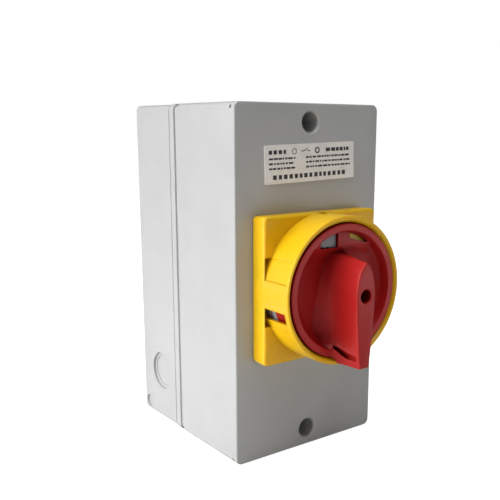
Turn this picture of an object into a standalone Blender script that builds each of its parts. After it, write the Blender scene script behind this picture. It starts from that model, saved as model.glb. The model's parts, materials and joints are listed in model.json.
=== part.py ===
"""Padlockable rotary isolator switch in a wall box, built as separate pieces.

Units are metres. The box hangs on a wall whose face is the plane Y = 0, +Z is up and the handle
faces -Y. Each piece is drawn as if the box lay on its back: x to the right, y up the wall and z
out of the wall. One empty stands the whole switch upright.
"""
import math

import bmesh
import bpy

# ---------------------------------------------------------------- driving dimensions
GAP = 0.0003  # between a piece and what it rests on

BOX_WIDTH = 0.0816
BOX_HEIGHT = 0.160
BOX_DEPTH = 0.088
EDGE_RADIUS = 0.0012
WALL = 0.0026
FRONT_WALL = 0.003
REAR_WALL = 0.003

COVER_EDGE = 0.041  # out of the wall, where the cover's rear edge stops
RIM_FRONT = 0.0377  # front of the rim band round the rear enclosure
RIM_REAR = 0.034
RIM_STEP = 0.0003
SHOULDER_INSET = 0.001  # of the shoulder that fills the seam behind the cover's edge
LIP_TOP = 0.044  # the rear enclosure's lip stands inside the cover
LIP_INSET = 0.0029
LIP_INNER_INSET = 0.0044
GASKET_THICK = 0.0015
LEDGE_DEPTH = 0.004
LABEL_WIDTH = 0.0513
LABEL_HEIGHT = 0.0166
LABEL_UP = 0.0544
LABEL_TILT = 1.67  # degrees

COVER_SCREW_UP = 0.0719
COVER_WELL_RADIUS = 0.0045
COVER_PILLAR_RADIUS = 0.0062
BASE_PILLAR_RADIUS = 0.005
WELL_FLOOR = 0.0486

WALL_HOLE_X = 0.028
WALL_HOLE_UP = 0.062
KNOCKOUT_RADIUS = 0.0096
KNOCKOUT_STEP = 0.0015  # width of the shallower ring round the knockout
KNOCKOUT_RING_DEPTH = 0.0013
KNOCKOUT_DEPTH = 0.0017
SIDE_KNOCKOUT_UP = -0.0536
SIDE_KNOCKOUT_OUT = 0.0194
END_KNOCKOUT_RADIUS = 0.0125
END_KNOCKOUT_OUT = 0.018

# the yellow padlock plate and its drum, measured out of the cover's front face
PLATE_WIDTH = 0.0642
PLATE_HEIGHT = 0.0656
PLATE_THICK = 0.0092
DRUM_RADIUS = 0.0322
DRUM_STRETCH = 1.02  # the drum is a little taller than wide
DRUM_BORE = 0.03005
DRUM_MOUTH = 0.0012  # width and depth of the bevel round the bore's mouth
DRUM_HEIGHT = 0.0252
DRUM_FLOOR = 0.003
PANEL_RADIUS = 0.03185  # the drum's surface in the recessed bands
UPPER_BAND = (0.0043, 0.0154)  # lowest and highest, on the left of the drum
LOWER_BAND = (-0.0149, -0.0063)
BAND_REAR = 0.0025
BAND_FRONT = 0.0238
WINDOW_UP = (0.0063, 0.0114)  # nearest to and furthest from the shaft's level
WINDOW_REAR = 0.0053
WINDOW_FRONT = 0.022
TOP_SLIT = (-0.0030, 0.0022)  # across the drum's crown
TOP_SLIT_OUT = (0.0080, 0.0142)
LUG_TOP = 0.0147
COLLAR_HOLE = 0.012
PLATE_SCREW_SPACING = 0.050

# the grey ring between the drum and the handle
RING_FLOOR = 0.0033
RING_THICK = 0.003
RING_TOP = 0.0119
RING_WAIST_TOP = 0.0057
RING_RADIUS = 0.0292
RING_WAIST = 0.0278
RING_INNER = 0.0262

HANDLE_RADIUS = 0.0296
DISH_RADIUS = 0.0264
HANDLE_RIM = 0.0247
DISH_FLOOR = 0.018
DISH_SHELF = 0.022  # the raised top of the dish, where its windows are
DISH_WALL = 0.0253  # radius of the windows' outer edge
SKIRT_REAR = 0.0122
SKIRT_INNER = 0.0281
HUB_RADIUS = 0.0095
HUB_REAR = 0.0042
# a dish window: nearest and furthest x, and the lower edge's height at both
WINDOW_LEFT = (0.0023, 0.0121, (0.0191, 0.0191))
WINDOW_RIGHT = (0.0044, 0.0149, (0.0224, 0.0198))
SLIDE_REAR = 0.0150
SLIDE_FRONT = 0.0206
FLAG_REAR = 0.0188
FLAG_THICK = 0.0011
FLAG_POCKET = (0.0034, 0.0168, (0.0180, 0.0180))
GRIP_FRONT = 0.0379
GRIP_TOP = 0.0143
GRIP_FOOT_TOP = 0.0168
NOSE_END = -0.0318
GRIP_HOLE = 0.0029
SCREW_SEAT = 0.0145  # inside the grip

SHAFT_SIDE = 0.008
SHAFT_REAR = 0.009
SHAFT_FRONT = 0.076
BUSH_REAR = 0.068

DECK_HALF_WIDTH = 0.028
REAR_DECK_HALF_HEIGHT = 0.038
FRONT_DECK_HALF_HEIGHT = 0.0295
DETENT_HALF_HEIGHT = 0.020
MOUNT_PLATE_REAR = 0.0083
REAR_DECK_LOW = 0.0106
DECK_THICK = 0.016
FRONT_DECK_LOW = REAR_DECK_LOW + DECK_THICK + GAP
DETENT_LOW = FRONT_DECK_LOW + DECK_THICK + GAP
DETENT_THICK = 0.013
CAP_LOW = DETENT_LOW + DETENT_THICK + GAP
CAP_THICK = 0.002
CHAMBER_RADIUS = 0.0182
ROTOR_RADIUS = 0.0145
BLADE_OFFSET = 0.007
BLADE_HALF_LENGTH = 0.0158
TERMINAL_X = 0.011
TERMINAL_HALF = 0.006
STRAP_LEVEL = 0.007  # above the bottom of its deck
STRAP_THICK = 0.002
TIE_BOLT_X = 0.023
TIE_BOLT_UP = 0.016
MOUNT_SCREW_UP = 0.042
EARTH_UP = -0.058
EARTH_SCREW_X = 0.010

STAR_MEAN = 0.009
STAR_LOBE = 0.0014
PLUNGER_NOSE = 0.0107
PLUNGER_BACK = 0.0187
CHANNEL_END = 0.0262

# name: (colour, roughness, metallic)
FINISHES = {
    "enclosure_grey": ((0.70, 0.71, 0.70), 0.45, 0.0),
    "lock_yellow": ((0.95, 0.68, 0.02), 0.35, 0.0),
    "handle_red": ((0.62, 0.03, 0.025), 0.35, 0.0),
    "lock_grey": ((0.33, 0.33, 0.35), 0.5, 0.0),
    "label_silver": ((0.78, 0.78, 0.79), 0.4, 0.2),
    "seal_black": ((0.03, 0.03, 0.03), 0.8, 0.0),
    "deck_black": ((0.045, 0.045, 0.05), 0.5, 0.0),
    "rotor_cream": ((0.75, 0.70, 0.58), 0.5, 0.0),
    "brass": ((0.78, 0.57, 0.24), 0.3, 1.0),
    "copper": ((0.80, 0.42, 0.26), 0.3, 1.0),
    "zinc_steel": ((0.70, 0.70, 0.68), 0.3, 1.0),
}


# ---------------------------------------------------------------- scene and materials
def clear_scene():
    for obj in list(bpy.data.objects):
        bpy.data.objects.remove(obj, do_unlink=True)


def collection(name):
    found = bpy.data.collections.get(name)
    if found is None:
        found = bpy.data.collections.new(name)
        bpy.context.scene.collection.children.link(found)
    return found


def standing_frame():
    """The empty that turns the lying frame upright: its z axis points along -Y."""
    frame = bpy.data.objects.get("standing_frame")
    if frame is None:
        frame = bpy.data.objects.new("standing_frame", None)
        frame.rotation_euler = (math.radians(90), 0, 0)
        collection("rotary_isolator_switch").objects.link(frame)
    return frame


def finish(name):
    material = bpy.data.materials.get(name)
    if material is None:
        colour, roughness, metallic = FINISHES[name]
        material = bpy.data.materials.new(name)
        material.use_nodes = True
        surface = material.node_tree.nodes["Principled BSDF"]
        surface.inputs["Base Color"].default_value = (*colour, 1.0)
        surface.inputs["Roughness"].default_value = roughness
        surface.inputs["Metallic"].default_value = metallic
    return material


def piece(name, mesh, finish_name, at=(0, 0, 0)):
    """A named piece of the switch."""
    obj = bpy.data.objects.new(name, mesh)
    collection("rotary_isolator_switch").objects.link(obj)
    obj.parent = standing_frame()
    obj.location = at
    mesh.materials.append(finish(finish_name))
    return obj


def tool(name, mesh, at=(0, 0, 0), turn=(0, 0, 0)):
    """A shape that only cuts or joins another one."""
    obj = bpy.data.objects.new(name, mesh)
    collection("cutters").objects.link(obj)
    obj.parent = standing_frame()
    obj.location = at
    obj.rotation_euler = turn
    obj.hide_render = True
    obj.display_type = "WIRE"
    return obj


def combine(obj, other, operation):
    step = obj.modifiers.new(other.name, "BOOLEAN")
    step.operation = operation
    step.object = other
    step.solver = "EXACT"


def cut(obj, other):
    combine(obj, other, "DIFFERENCE")


def join(obj, other):
    combine(obj, other, "UNION")


# ---------------------------------------------------------------- shapes
def to_mesh(bm, name):
    bmesh.ops.recalc_face_normals(bm, faces=bm.faces)
    mesh = bpy.data.meshes.new(name)
    bm.to_mesh(mesh)
    bm.free()
    return mesh


def box(name, low, high):
    bm = bmesh.new()
    bmesh.ops.create_cube(bm, size=1)
    bmesh.ops.scale(bm, vec=[b - a for a, b in zip(low, high)], verts=bm.verts)
    bmesh.ops.translate(bm, vec=[(a + b) / 2 for a, b in zip(low, high)], verts=bm.verts)
    return to_mesh(bm, name)


def block(name, half_x, half_y, low, high):
    """A box centred on the shaft's axis."""
    return box(name, (-half_x, -half_y, low), (half_x, half_y, high))


def rod(name, radius, low, high, sides=16, end_radius=None):
    end_radius = radius if end_radius is None else end_radius
    bm = bmesh.new()
    bmesh.ops.create_cone(
        bm, cap_ends=True, segments=sides, radius1=radius, radius2=end_radius, depth=high - low
    )
    bmesh.ops.translate(bm, vec=(0, 0, (low + high) / 2), verts=bm.verts)
    mesh = to_mesh(bm, name)
    mesh.shade_smooth()
    mesh.set_sharp_from_angle(angle=math.radians(40))
    return mesh


def soften(obj, width, segments=2):
    """Rounds a block's edges, before anything is cut from it."""
    bevel = obj.modifiers.new("edges", "BEVEL")
    bevel.width = width
    bevel.segments = segments
    bevel.limit_method = "ANGLE"


def rounded_rectangle(width, height, radius, steps=3):
    corners = [(1, 1, 0), (-1, 1, 90), (-1, -1, 180), (1, -1, 270)]
    points = []
    for side_x, side_y, start in corners:
        centre_x = side_x * (width / 2 - radius)
        centre_y = side_y * (height / 2 - radius)
        for step in range(steps + 1):
            angle = math.radians(start + 90 * step / steps)
            points.append((centre_x + radius * math.cos(angle), centre_y + radius * math.sin(angle)))
    return points


def flat_shape(name, outlines, low, high):
    """A plate with the given outline and holes, drawn as a filled curve and made a mesh."""
    curve = bpy.data.curves.new(name, "CURVE")
    curve.dimensions = "2D"
    curve.fill_mode = "BOTH"
    curve.extrude = (high - low) / 2
    for outline in outlines:
        spline = curve.splines.new("POLY")
        spline.points.add(len(outline) - 1)
        for point, (x, y) in zip(spline.points, outline):
            point.co = (x, y, 0, 1)
        spline.use_cyclic_u = True
    guide = bpy.data.objects.new(name, curve)
    collection("cutters").objects.link(guide)
    bpy.context.view_layer.update()
    evaluated = guide.evaluated_get(bpy.context.evaluated_depsgraph_get())
    drawn = bpy.data.meshes.new_from_object(evaluated)
    bpy.data.objects.remove(guide, do_unlink=True)
    bm = bmesh.new()
    bm.from_mesh(drawn)
    bmesh.ops.remove_doubles(bm, verts=bm.verts, dist=0.000001)
    bmesh.ops.translate(bm, vec=(0, 0, (low + high) / 2), verts=bm.verts)
    return to_mesh(bm, name)


def circle(radius, centre=(0, 0), sides=24):
    angles = [2 * math.pi * step / sides for step in range(sides)]
    return [(centre[0] + radius * math.cos(a), centre[1] + radius * math.sin(a)) for a in angles]


def turned(name, profile, steps, make=piece, **placing):
    """A turned piece: its profile is (radius, height) pairs that run down its outer side."""
    mesh = bpy.data.meshes.new(name)
    mesh.from_pydata([(r, 0, z) for r, z in profile], [(i, i + 1) for i in range(len(profile) - 1)], [])
    obj = make(name, mesh, **placing)
    spin = obj.modifiers.new("turn", "SCREW")
    spin.steps = steps
    spin.render_steps = steps
    spin.use_merge_vertices = True
    spin.merge_threshold = 0.00001
    spin.use_smooth_shade = True
    return obj


def loft(name, rings):
    """A closed skin over rings that all have the same number of points."""
    bm = bmesh.new()
    rows = [[bm.verts.new(point) for point in ring] for ring in rings]
    count = len(rows[0])
    for lower, upper in zip(rows, rows[1:]):
        for i in range(count):
            after = (i + 1) % count
            bm.faces.new((lower[i], lower[after], upper[after], upper[i]))
    bm.faces.new(rows[0])
    bm.faces.new(rows[-1])
    return to_mesh(bm, name)


def screw(name, finish_name, at, shank_radius, low, seat, head_radius, head_height, sides=10):
    """A cheese-head screw with one straight slot."""
    top = seat + head_height
    profile = [
        (0, top),
        (head_radius, top),
        (head_radius, seat),
        (shank_radius, seat),
        (shank_radius, low),
        (0, low),
    ]
    obj = turned(name, profile, sides, finish_name=finish_name, at=(*at, 0))
    reach = head_radius * 1.2
    slot_half = head_radius * 0.14
    slot_low = top - head_height * 0.45
    slot = box(name + "_slot", (-reach, -slot_half, slot_low), (reach, slot_half, top + GAP))
    cut(obj, tool(name + "_slot", slot, at=(*at, 0)))
    return obj


def drill(obj, radius, centres, low, high, sides=12):
    for number, centre in enumerate(centres):
        name = f"{obj.name}_hole_{number}_{round(radius * 1e4)}"
        cut(obj, tool(name, rod(name, radius, low, high, sides), at=(*centre, 0)))


# ---------------------------------------------------------------- enclosure
def inset_slab(name, inset, low, high):
    radius = max(EDGE_RADIUS - inset, 0.001)
    outline = rounded_rectangle(BOX_WIDTH - 2 * inset, BOX_HEIGHT - 2 * inset, radius)
    return flat_shape(name, [outline], low, high)


def knockout_cutter(name, radius, at, turn):
    """Cuts the stepped round recess that marks a cable knockout."""
    recess = tool(name, rod(name, radius, -KNOCKOUT_RING_DEPTH, 0.001, 32), at=at, turn=turn)
    name += "_centre"
    middle = rod(name, radius - KNOCKOUT_STEP, -KNOCKOUT_DEPTH, 0, 32)
    join(recess, tool(name, middle, at=at, turn=turn))
    return recess


def rear_enclosure():
    half_x = BOX_WIDTH / 2 - RIM_STEP
    half_y = BOX_HEIGHT / 2 - RIM_STEP
    shell = piece("rear_enclosure", block("rear_enclosure", half_x, half_y, 0, 0.050), "enclosure_grey")
    soften(shell, EDGE_RADIUS)
    cut(shell, tool("rear_front_trim", block("rear_front_trim", 0.06, 0.1, RIM_FRONT - 0.001, 0.060)))
    join(shell, tool("rear_rim", inset_slab("rear_rim", 0, RIM_REAR, RIM_FRONT)))
    shoulder = inset_slab("rear_shoulder", SHOULDER_INSET, RIM_FRONT - 0.001, COVER_EDGE - GAP)
    join(shell, tool("rear_shoulder", shoulder))
    join(shell, tool("rear_lip", inset_slab("rear_lip", LIP_INSET, 0.010, LIP_TOP)))
    cut(shell, tool("rear_room", inset_slab("rear_room", LIP_INSET + RIM_STEP, REAR_WALL, 0.030)))
    cut(shell, tool("rear_mouth", inset_slab("rear_mouth", LIP_INNER_INSET, 0.029, LIP_TOP + 0.001)))
    for side in (-1, 1):
        name = "rear_pillar_top" if side > 0 else "rear_pillar_bottom"
        pillar = rod(name, BASE_PILLAR_RADIUS, REAR_WALL - 0.001, LIP_TOP - GAP)
        join(shell, tool(name, pillar, at=(0, side * COVER_SCREW_UP, 0)))
        name = "switch_boss_top" if side > 0 else "switch_boss_bottom"
        boss = rod(name, 0.005, REAR_WALL - 0.001, MOUNT_PLATE_REAR - GAP)
        join(shell, tool(name, boss, at=(0, side * MOUNT_SCREW_UP, 0)))
        name = "earth_boss_right" if side > 0 else "earth_boss_left"
        boss = rod(name, 0.004, REAR_WALL - 0.001, 0.0117)
        join(shell, tool(name, boss, at=(side * EARTH_SCREW_X, EARTH_UP, 0)))
    ends = [(0, COVER_SCREW_UP), (0, -COVER_SCREW_UP)]
    drill(shell, 0.0023, ends, 0.020, 0.046)
    drill(shell, 0.0019, [(0, MOUNT_SCREW_UP), (0, -MOUNT_SCREW_UP)], 0.0015, 0.010)
    drill(shell, 0.0018, [(-EARTH_SCREW_X, EARTH_UP), (EARTH_SCREW_X, EARTH_UP)], 0.0035, 0.014)
    wall_holes = [(x, y) for x in (-WALL_HOLE_X, WALL_HOLE_X) for y in (-WALL_HOLE_UP, WALL_HOLE_UP)]
    drill(shell, 0.00225, wall_holes, -0.001, 0.005)
    quarter = math.radians(90)
    for side in (-1, 1):
        word = "right" if side > 0 else "left"
        at = (side * half_x, SIDE_KNOCKOUT_UP, SIDE_KNOCKOUT_OUT)
        turn = (0, side * quarter, 0)
        cut(shell, knockout_cutter("knockout_" + word, KNOCKOUT_RADIUS, at, turn))
        word = "top" if side > 0 else "bottom"
        at = (0, side * half_y, END_KNOCKOUT_OUT)
        turn = (-side * quarter, 0, 0)
        cut(shell, knockout_cutter("knockout_" + word, END_KNOCKOUT_RADIUS, at, turn))


def front_cover():
    mesh = block("front_cover", BOX_WIDTH / 2, BOX_HEIGHT / 2, 0.030, BOX_DEPTH)
    shell = piece("front_cover", mesh, "enclosure_grey")
    soften(shell, EDGE_RADIUS)
    cut(shell, tool("cover_rear_trim", block("cover_rear_trim", 0.06, 0.1, 0.020, COVER_EDGE)))
    ledge = LIP_TOP + GASKET_THICK + 2 * GAP
    inner = BOX_DEPTH - FRONT_WALL
    cut(shell, tool("cover_mouth", inset_slab("cover_mouth", WALL, COVER_EDGE - 0.001, ledge)))
    throat = inset_slab("cover_throat", LIP_INNER_INSET, ledge - 0.001, ledge + LEDGE_DEPTH)
    cut(shell, tool("cover_throat", throat))
    cut(shell, tool("cover_room", inset_slab("cover_room", WALL, ledge + LEDGE_DEPTH - 0.0005, inner)))
    centres = [(0, COVER_SCREW_UP), (0, -COVER_SCREW_UP)]
    for number, centre in enumerate(centres):
        name = f"cover_pillar_{number}"
        pillar = rod(name, COVER_PILLAR_RADIUS, ledge, inner + 0.001)
        join(shell, tool(name, pillar, at=(*centre, 0)))
    drill(shell, 0.0024, centres, ledge - 0.001, WELL_FLOOR + 0.001)
    drill(shell, COVER_WELL_RADIUS, centres, WELL_FLOOR, BOX_DEPTH + 0.001)
    for number, centre in enumerate(centres):
        name = f"cover_well_mouth_{number}"
        inside, outside = COVER_WELL_RADIUS - 0.0002, COVER_WELL_RADIUS + 0.0008
        mouth = rod(name, inside, BOX_DEPTH - 0.0007, BOX_DEPTH + 0.0003, 16, outside)
        cut(shell, tool(name, mouth, at=(*centre, 0)))
    drill(shell, 0.0092, [(0, 0)], inner - 0.002, BOX_DEPTH + 0.001, sides=24)
    drill(shell, 0.0019, plate_screw_centres(), inner - 0.002, BOX_DEPTH + 0.001)


def cover_gasket():
    inset_outer = LIP_INSET + 0.0001
    inset_inner = LIP_INNER_INSET - 0.0001
    outer = rounded_rectangle(BOX_WIDTH - 2 * inset_outer, BOX_HEIGHT - 2 * inset_outer, 0.0015)
    inner = rounded_rectangle(BOX_WIDTH - 2 * inset_inner, BOX_HEIGHT - 2 * inset_inner, 0.001)
    low = LIP_TOP + GAP
    piece("cover_gasket", flat_shape("cover_gasket", [outer, inner], low, low + GASKET_THICK), "seal_black")


def cover_screws():
    for name, side in (("cover_screw_top", 1), ("cover_screw_bottom", -1)):
        at = (0, side * COVER_SCREW_UP)
        screw(name, "zinc_steel", at, 0.0019, 0.028, WELL_FLOOR + GAP, 0.0039, 0.003, 16)


def rating_label():
    outline = rounded_rectangle(LABEL_WIDTH, LABEL_HEIGHT, 0.0006, 2)
    low = BOX_DEPTH + GAP
    mesh = flat_shape("rating_label", [outline], low, low + 0.0004)
    label = piece("rating_label", mesh, "label_silver", at=(0, LABEL_UP, 0))
    label.rotation_euler = (0, 0, math.radians(LABEL_TILT))


# ---------------------------------------------------------------- padlock plate
def plate_screw_centres():
    half = PLATE_SCREW_SPACING / 2
    return [(x, y) for x in (-half, half) for y in (-half, half)]


def drum_round(name, radius, low, high):
    """A round cutter stretched like the drum."""
    core = tool(name, rod(name, radius, low, high, 56))
    core.scale = (1, DRUM_STRETCH, 1)
    return core


def band_cutter(name, low, high, rear):
    """Recesses the drum outside the panel radius, from rear up to near its mouth."""
    front = BOX_DEPTH + BAND_FRONT
    cutter = tool(name, box(name, (*low, rear), (*high, front)))
    cut(cutter, drum_round(name + "_core", PANEL_RADIUS, rear - 0.001, front + 0.001))
    return cutter


def dish_window(side, near, far, low, arc=DISH_WALL, inset=0.0):
    """An opening's outline: round along the dish wall, straight on its other sides."""
    near, far, arc = near + inset, far - inset, arc - inset
    start, end = math.asin(near / arc), math.asin(far / arc)
    curve = [start + (end - start) * step / 4 for step in range(5)]
    outline = [(side * near, low[0] + inset)]
    outline += [(side * arc * math.sin(a), arc * math.cos(a)) for a in curve]
    return outline + [(side * far, low[1] + inset)]


def padlock_plate():
    low = BOX_DEPTH + GAP
    plate_top = BOX_DEPTH + PLATE_THICK
    drum_top = BOX_DEPTH + DRUM_HEIGHT
    half_x, half_y = PLATE_WIDTH / 2, PLATE_HEIGHT / 2
    slab = block("padlock_plate", half_x, half_y, low - 0.004, plate_top)
    collar = piece("padlock_plate", slab, "lock_yellow")
    soften(collar, 0.0014)
    cut(collar, tool("plate_back_trim", block("plate_back_trim", 0.05, 0.05, low - 0.006, low)))
    profile = [
        (0, drum_top),
        (DRUM_RADIUS - 0.0007, drum_top),
        (DRUM_RADIUS, drum_top - 0.0007),
        (DRUM_RADIUS, low + 0.001),
        (0, low + 0.001),
    ]
    drum = turned("drum", profile, 56, make=tool)
    drum.scale = (1, DRUM_STRETCH, 1)
    join(collar, drum)
    recess = block("gasket_recess", 0.029, 0.029, low - 0.001, low + 0.001)
    cut(collar, tool("gasket_recess", recess))
    bore = rod("drum_bore", DRUM_BORE, BOX_DEPTH + DRUM_FLOOR, drum_top + 0.001, 56)
    cut(collar, tool("drum_bore", bore))
    mouth_low, mouth_high = drum_top - DRUM_MOUTH, drum_top + 0.0003
    wide = DRUM_BORE + DRUM_MOUTH + 0.0003
    mouth = rod("drum_mouth", DRUM_BORE, mouth_low, mouth_high, 56, wide)
    cut(collar, tool("drum_mouth", mouth))
    hole = rod("collar_hole", COLLAR_HOLE, low - 0.001, BOX_DEPTH + 0.004, 24)
    cut(collar, tool("collar_hole", hole))
    reach = half_x - 0.0005
    pocket = BOX_DEPTH + BAND_REAR
    bands = {
        "band_upper_left": ((-reach, UPPER_BAND[0]), (0, UPPER_BAND[1]), pocket),
        "band_lower_left": ((-reach, LOWER_BAND[0]), (0, LOWER_BAND[1]), pocket),
        "band_top": ((TOP_SLIT[1], 0), (UPPER_BAND[1], half_y + 0.002), plate_top),
    }
    for name, (corner, opposite, rear) in bands.items():
        cut(collar, band_cutter(name, corner, opposite, rear))
    inside, outside = 0.026, 0.0345
    near, far = WINDOW_UP
    rear, front = BOX_DEPTH + WINDOW_REAR, BOX_DEPTH + WINDOW_FRONT
    slit_rear, slit_front = BOX_DEPTH + TOP_SLIT_OUT[0], BOX_DEPTH + TOP_SLIT_OUT[1]
    windows = {
        "window_left": ((-reach, -far, rear), (-inside, -near, front)),
        "window_right": ((inside, near, plate_top), (outside, far, front)),
        "window_top": ((TOP_SLIT[0], inside, slit_rear), (TOP_SLIT[1], outside, slit_front)),
    }
    for name, (corner, opposite) in windows.items():
        cut(collar, tool(name, box(name, corner, opposite)))
    lug_low = BOX_DEPTH + DRUM_FLOOR - 0.0005
    lug = flat_shape("stop_lug", [stop_lug_outline(0)], lug_low, BOX_DEPTH + LUG_TOP)
    join(collar, tool("stop_lug", lug))
    drill(collar, 0.0019, plate_screw_centres(), low - 0.001, BOX_DEPTH + 0.0072)


def stop_lug_outline(clearance):
    """The block at which the handle stops."""
    return dish_window(1, 0.0070, 0.0195, (0.0140, 0.0140), 0.0256, -clearance)


def plate_screws():
    for number, (x, y) in enumerate(plate_screw_centres(), start=1):
        name = f"padlock_plate_screw_{number}"
        # driven from inside the cover, so it is drawn upside down
        seat = -(BOX_DEPTH - FRONT_WALL - GAP)
        fastener = screw(name, "zinc_steel", (x, y), 0.0016, -(BOX_DEPTH + 0.0065), seat, 0.003, 0.002)
        for obj in (fastener, bpy.data.objects[name + "_slot"]):
            obj.rotation_euler = (math.pi, 0, 0)


def plate_gasket():
    outline = rounded_rectangle(0.0574, 0.0574, 0.001)
    holes = [circle(0.0135, sides=32)]
    holes += [circle(0.0022, centre, 12) for centre in plate_screw_centres()]
    low = BOX_DEPTH + GAP
    mesh = flat_shape("plate_gasket", [outline, *holes], low, low + 0.0006)
    piece("plate_gasket", mesh, "seal_black")


def lock_ring():
    floor = BOX_DEPTH + RING_FLOOR
    top = BOX_DEPTH + RING_TOP
    waist_top = BOX_DEPTH + RING_WAIST_TOP
    profile = [
        (RING_INNER, top),
        (RING_RADIUS, top),
        (RING_RADIUS, waist_top),
        (RING_WAIST, waist_top),
        (RING_WAIST, floor),
        (0.0130, floor),
        (0.0130, floor + RING_THICK),
        (RING_INNER, floor + RING_THICK),
        (RING_INNER, top),
    ]
    ring = turned("lock_ring", profile, 48, finish_name="lock_grey")
    hole = flat_shape("lug_hole", [stop_lug_outline(0.0004)], floor - 0.001, floor + RING_THICK + 0.001)
    cut(ring, tool("lug_hole", hole))


def shaft_seal():
    major, minor = 0.0101, 0.0012
    centre = BOX_DEPTH + GAP + minor
    angles = [math.radians(90 - 60 * step) for step in range(7)]
    profile = [(major + minor * math.cos(a), centre + minor * math.sin(a)) for a in angles]
    turned("shaft_seal", profile, 24, finish_name="seal_black")


# ---------------------------------------------------------------- handle
def front_half_width(y):
    """Half the width of the grip's front face, at height y."""
    widest, nose_half = 0.0052, 0.0026
    if y > 0:
        return widest * math.sqrt(max(1 - (y / GRIP_TOP) ** 2, 0))
    return widest + (nose_half - widest) * (y / NOSE_END)


def foot_half_width(y):
    """Half the width of the grip where its flank has run out, at height y."""
    top, middle, rim_edge, nose_step = GRIP_FOOT_TOP, -0.013, -0.028, -0.0302
    if y > middle:
        return 0.0128 - 0.0092 * min((y - middle) / (top - middle), 1) ** 1.5
    if y > rim_edge:
        return 0.0128 - 0.0043 * ((y - middle) / (rim_edge - middle)) ** 2
    if y > nose_step:
        return 0.0085 - 0.0029 * (rim_edge - y) / (rim_edge - nose_step)
    return 0.0056 - 0.0009 * (nose_step - y) / 0.0019


def foot_level(y):
    """How far out the flank runs out: at the dish floor, and at the rim near the nose."""
    rise = min(max((-0.0215 - y) / 0.005, 0), 1)
    return DISH_FLOOR + (HANDLE_RIM - DISH_FLOOR) * rise


def grip_half_width(y, out):
    """The flanks fall almost straight from the front face and flare at their foot."""
    down = min((GRIP_FRONT - out) / (GRIP_FRONT - foot_level(y)), 1)
    flare = 0.1 * down + 0.9 * down**4.5
    lean = (GRIP_TOP - 0.002) / GRIP_FOOT_TOP
    front = front_half_width(min(y * (1 - down) + y * lean * down, GRIP_TOP))
    return front + (foot_half_width(y) - front) * flare


def grip_ring(out, samples=11):
    down = (GRIP_FRONT - out) / (GRIP_FRONT - DISH_FLOOR)
    top = GRIP_TOP + (GRIP_FOOT_TOP - GRIP_TOP) * down
    over_ring = out > HANDLE_RIM + 0.0001
    bottom = NOSE_END if over_ring else -0.0288
    left = []
    for step in range(samples + 1):
        along = (1 - math.cos(math.pi * step / samples)) / 2
        y = top + (bottom - top) * along
        half = max(grip_half_width(y, out), 0.0006)
        if not over_ring:
            half = min(half, math.sqrt(0.0291**2 - y * y))
        left.append((-half, y))
    right = [(-x, y) for x, y in reversed(left)]
    return [(x, y, BOX_DEPTH + out) for x, y in left + right]


def grip():
    levels = [0.0165, DISH_FLOOR, 0.0187, 0.0197, 0.021, 0.0228, HANDLE_RIM - 0.0001]
    levels += [DRUM_HEIGHT + GAP, 0.027, 0.030, 0.0335, 0.0371]
    rings = [grip_ring(max(out, DISH_FLOOR)) for out in levels]
    rings[0] = [(x, y, BOX_DEPTH + levels[0]) for x, y, _ in rings[0]]
    rings.append([(x * 0.9, y * 0.985, BOX_DEPTH + GRIP_FRONT) for x, y, _ in grip_ring(GRIP_FRONT)])
    return tool("grip", loft("grip", rings))


def dish_shelf():
    """The raised top of the dish, with a slope down to the dish floor."""
    levels = [
        (0.0110, 0.0245, DISH_FLOOR - 0.0014),
        (0.0128, 0.0258, DISH_FLOOR),
        (0.0185, 0.0262, DISH_SHELF - 0.0004),
        (0.0192, 0.0262, DISH_SHELF),
    ]
    rings = []
    for chord, arc, out in levels:
        reach = math.acos(chord / arc)
        angles = [reach * (step / 6 - 1) for step in range(13)]
        rings.append([(arc * math.sin(a), arc * math.cos(a), BOX_DEPTH + out) for a in angles])
    return tool("dish_shelf", loft("dish_shelf", rings))


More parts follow.
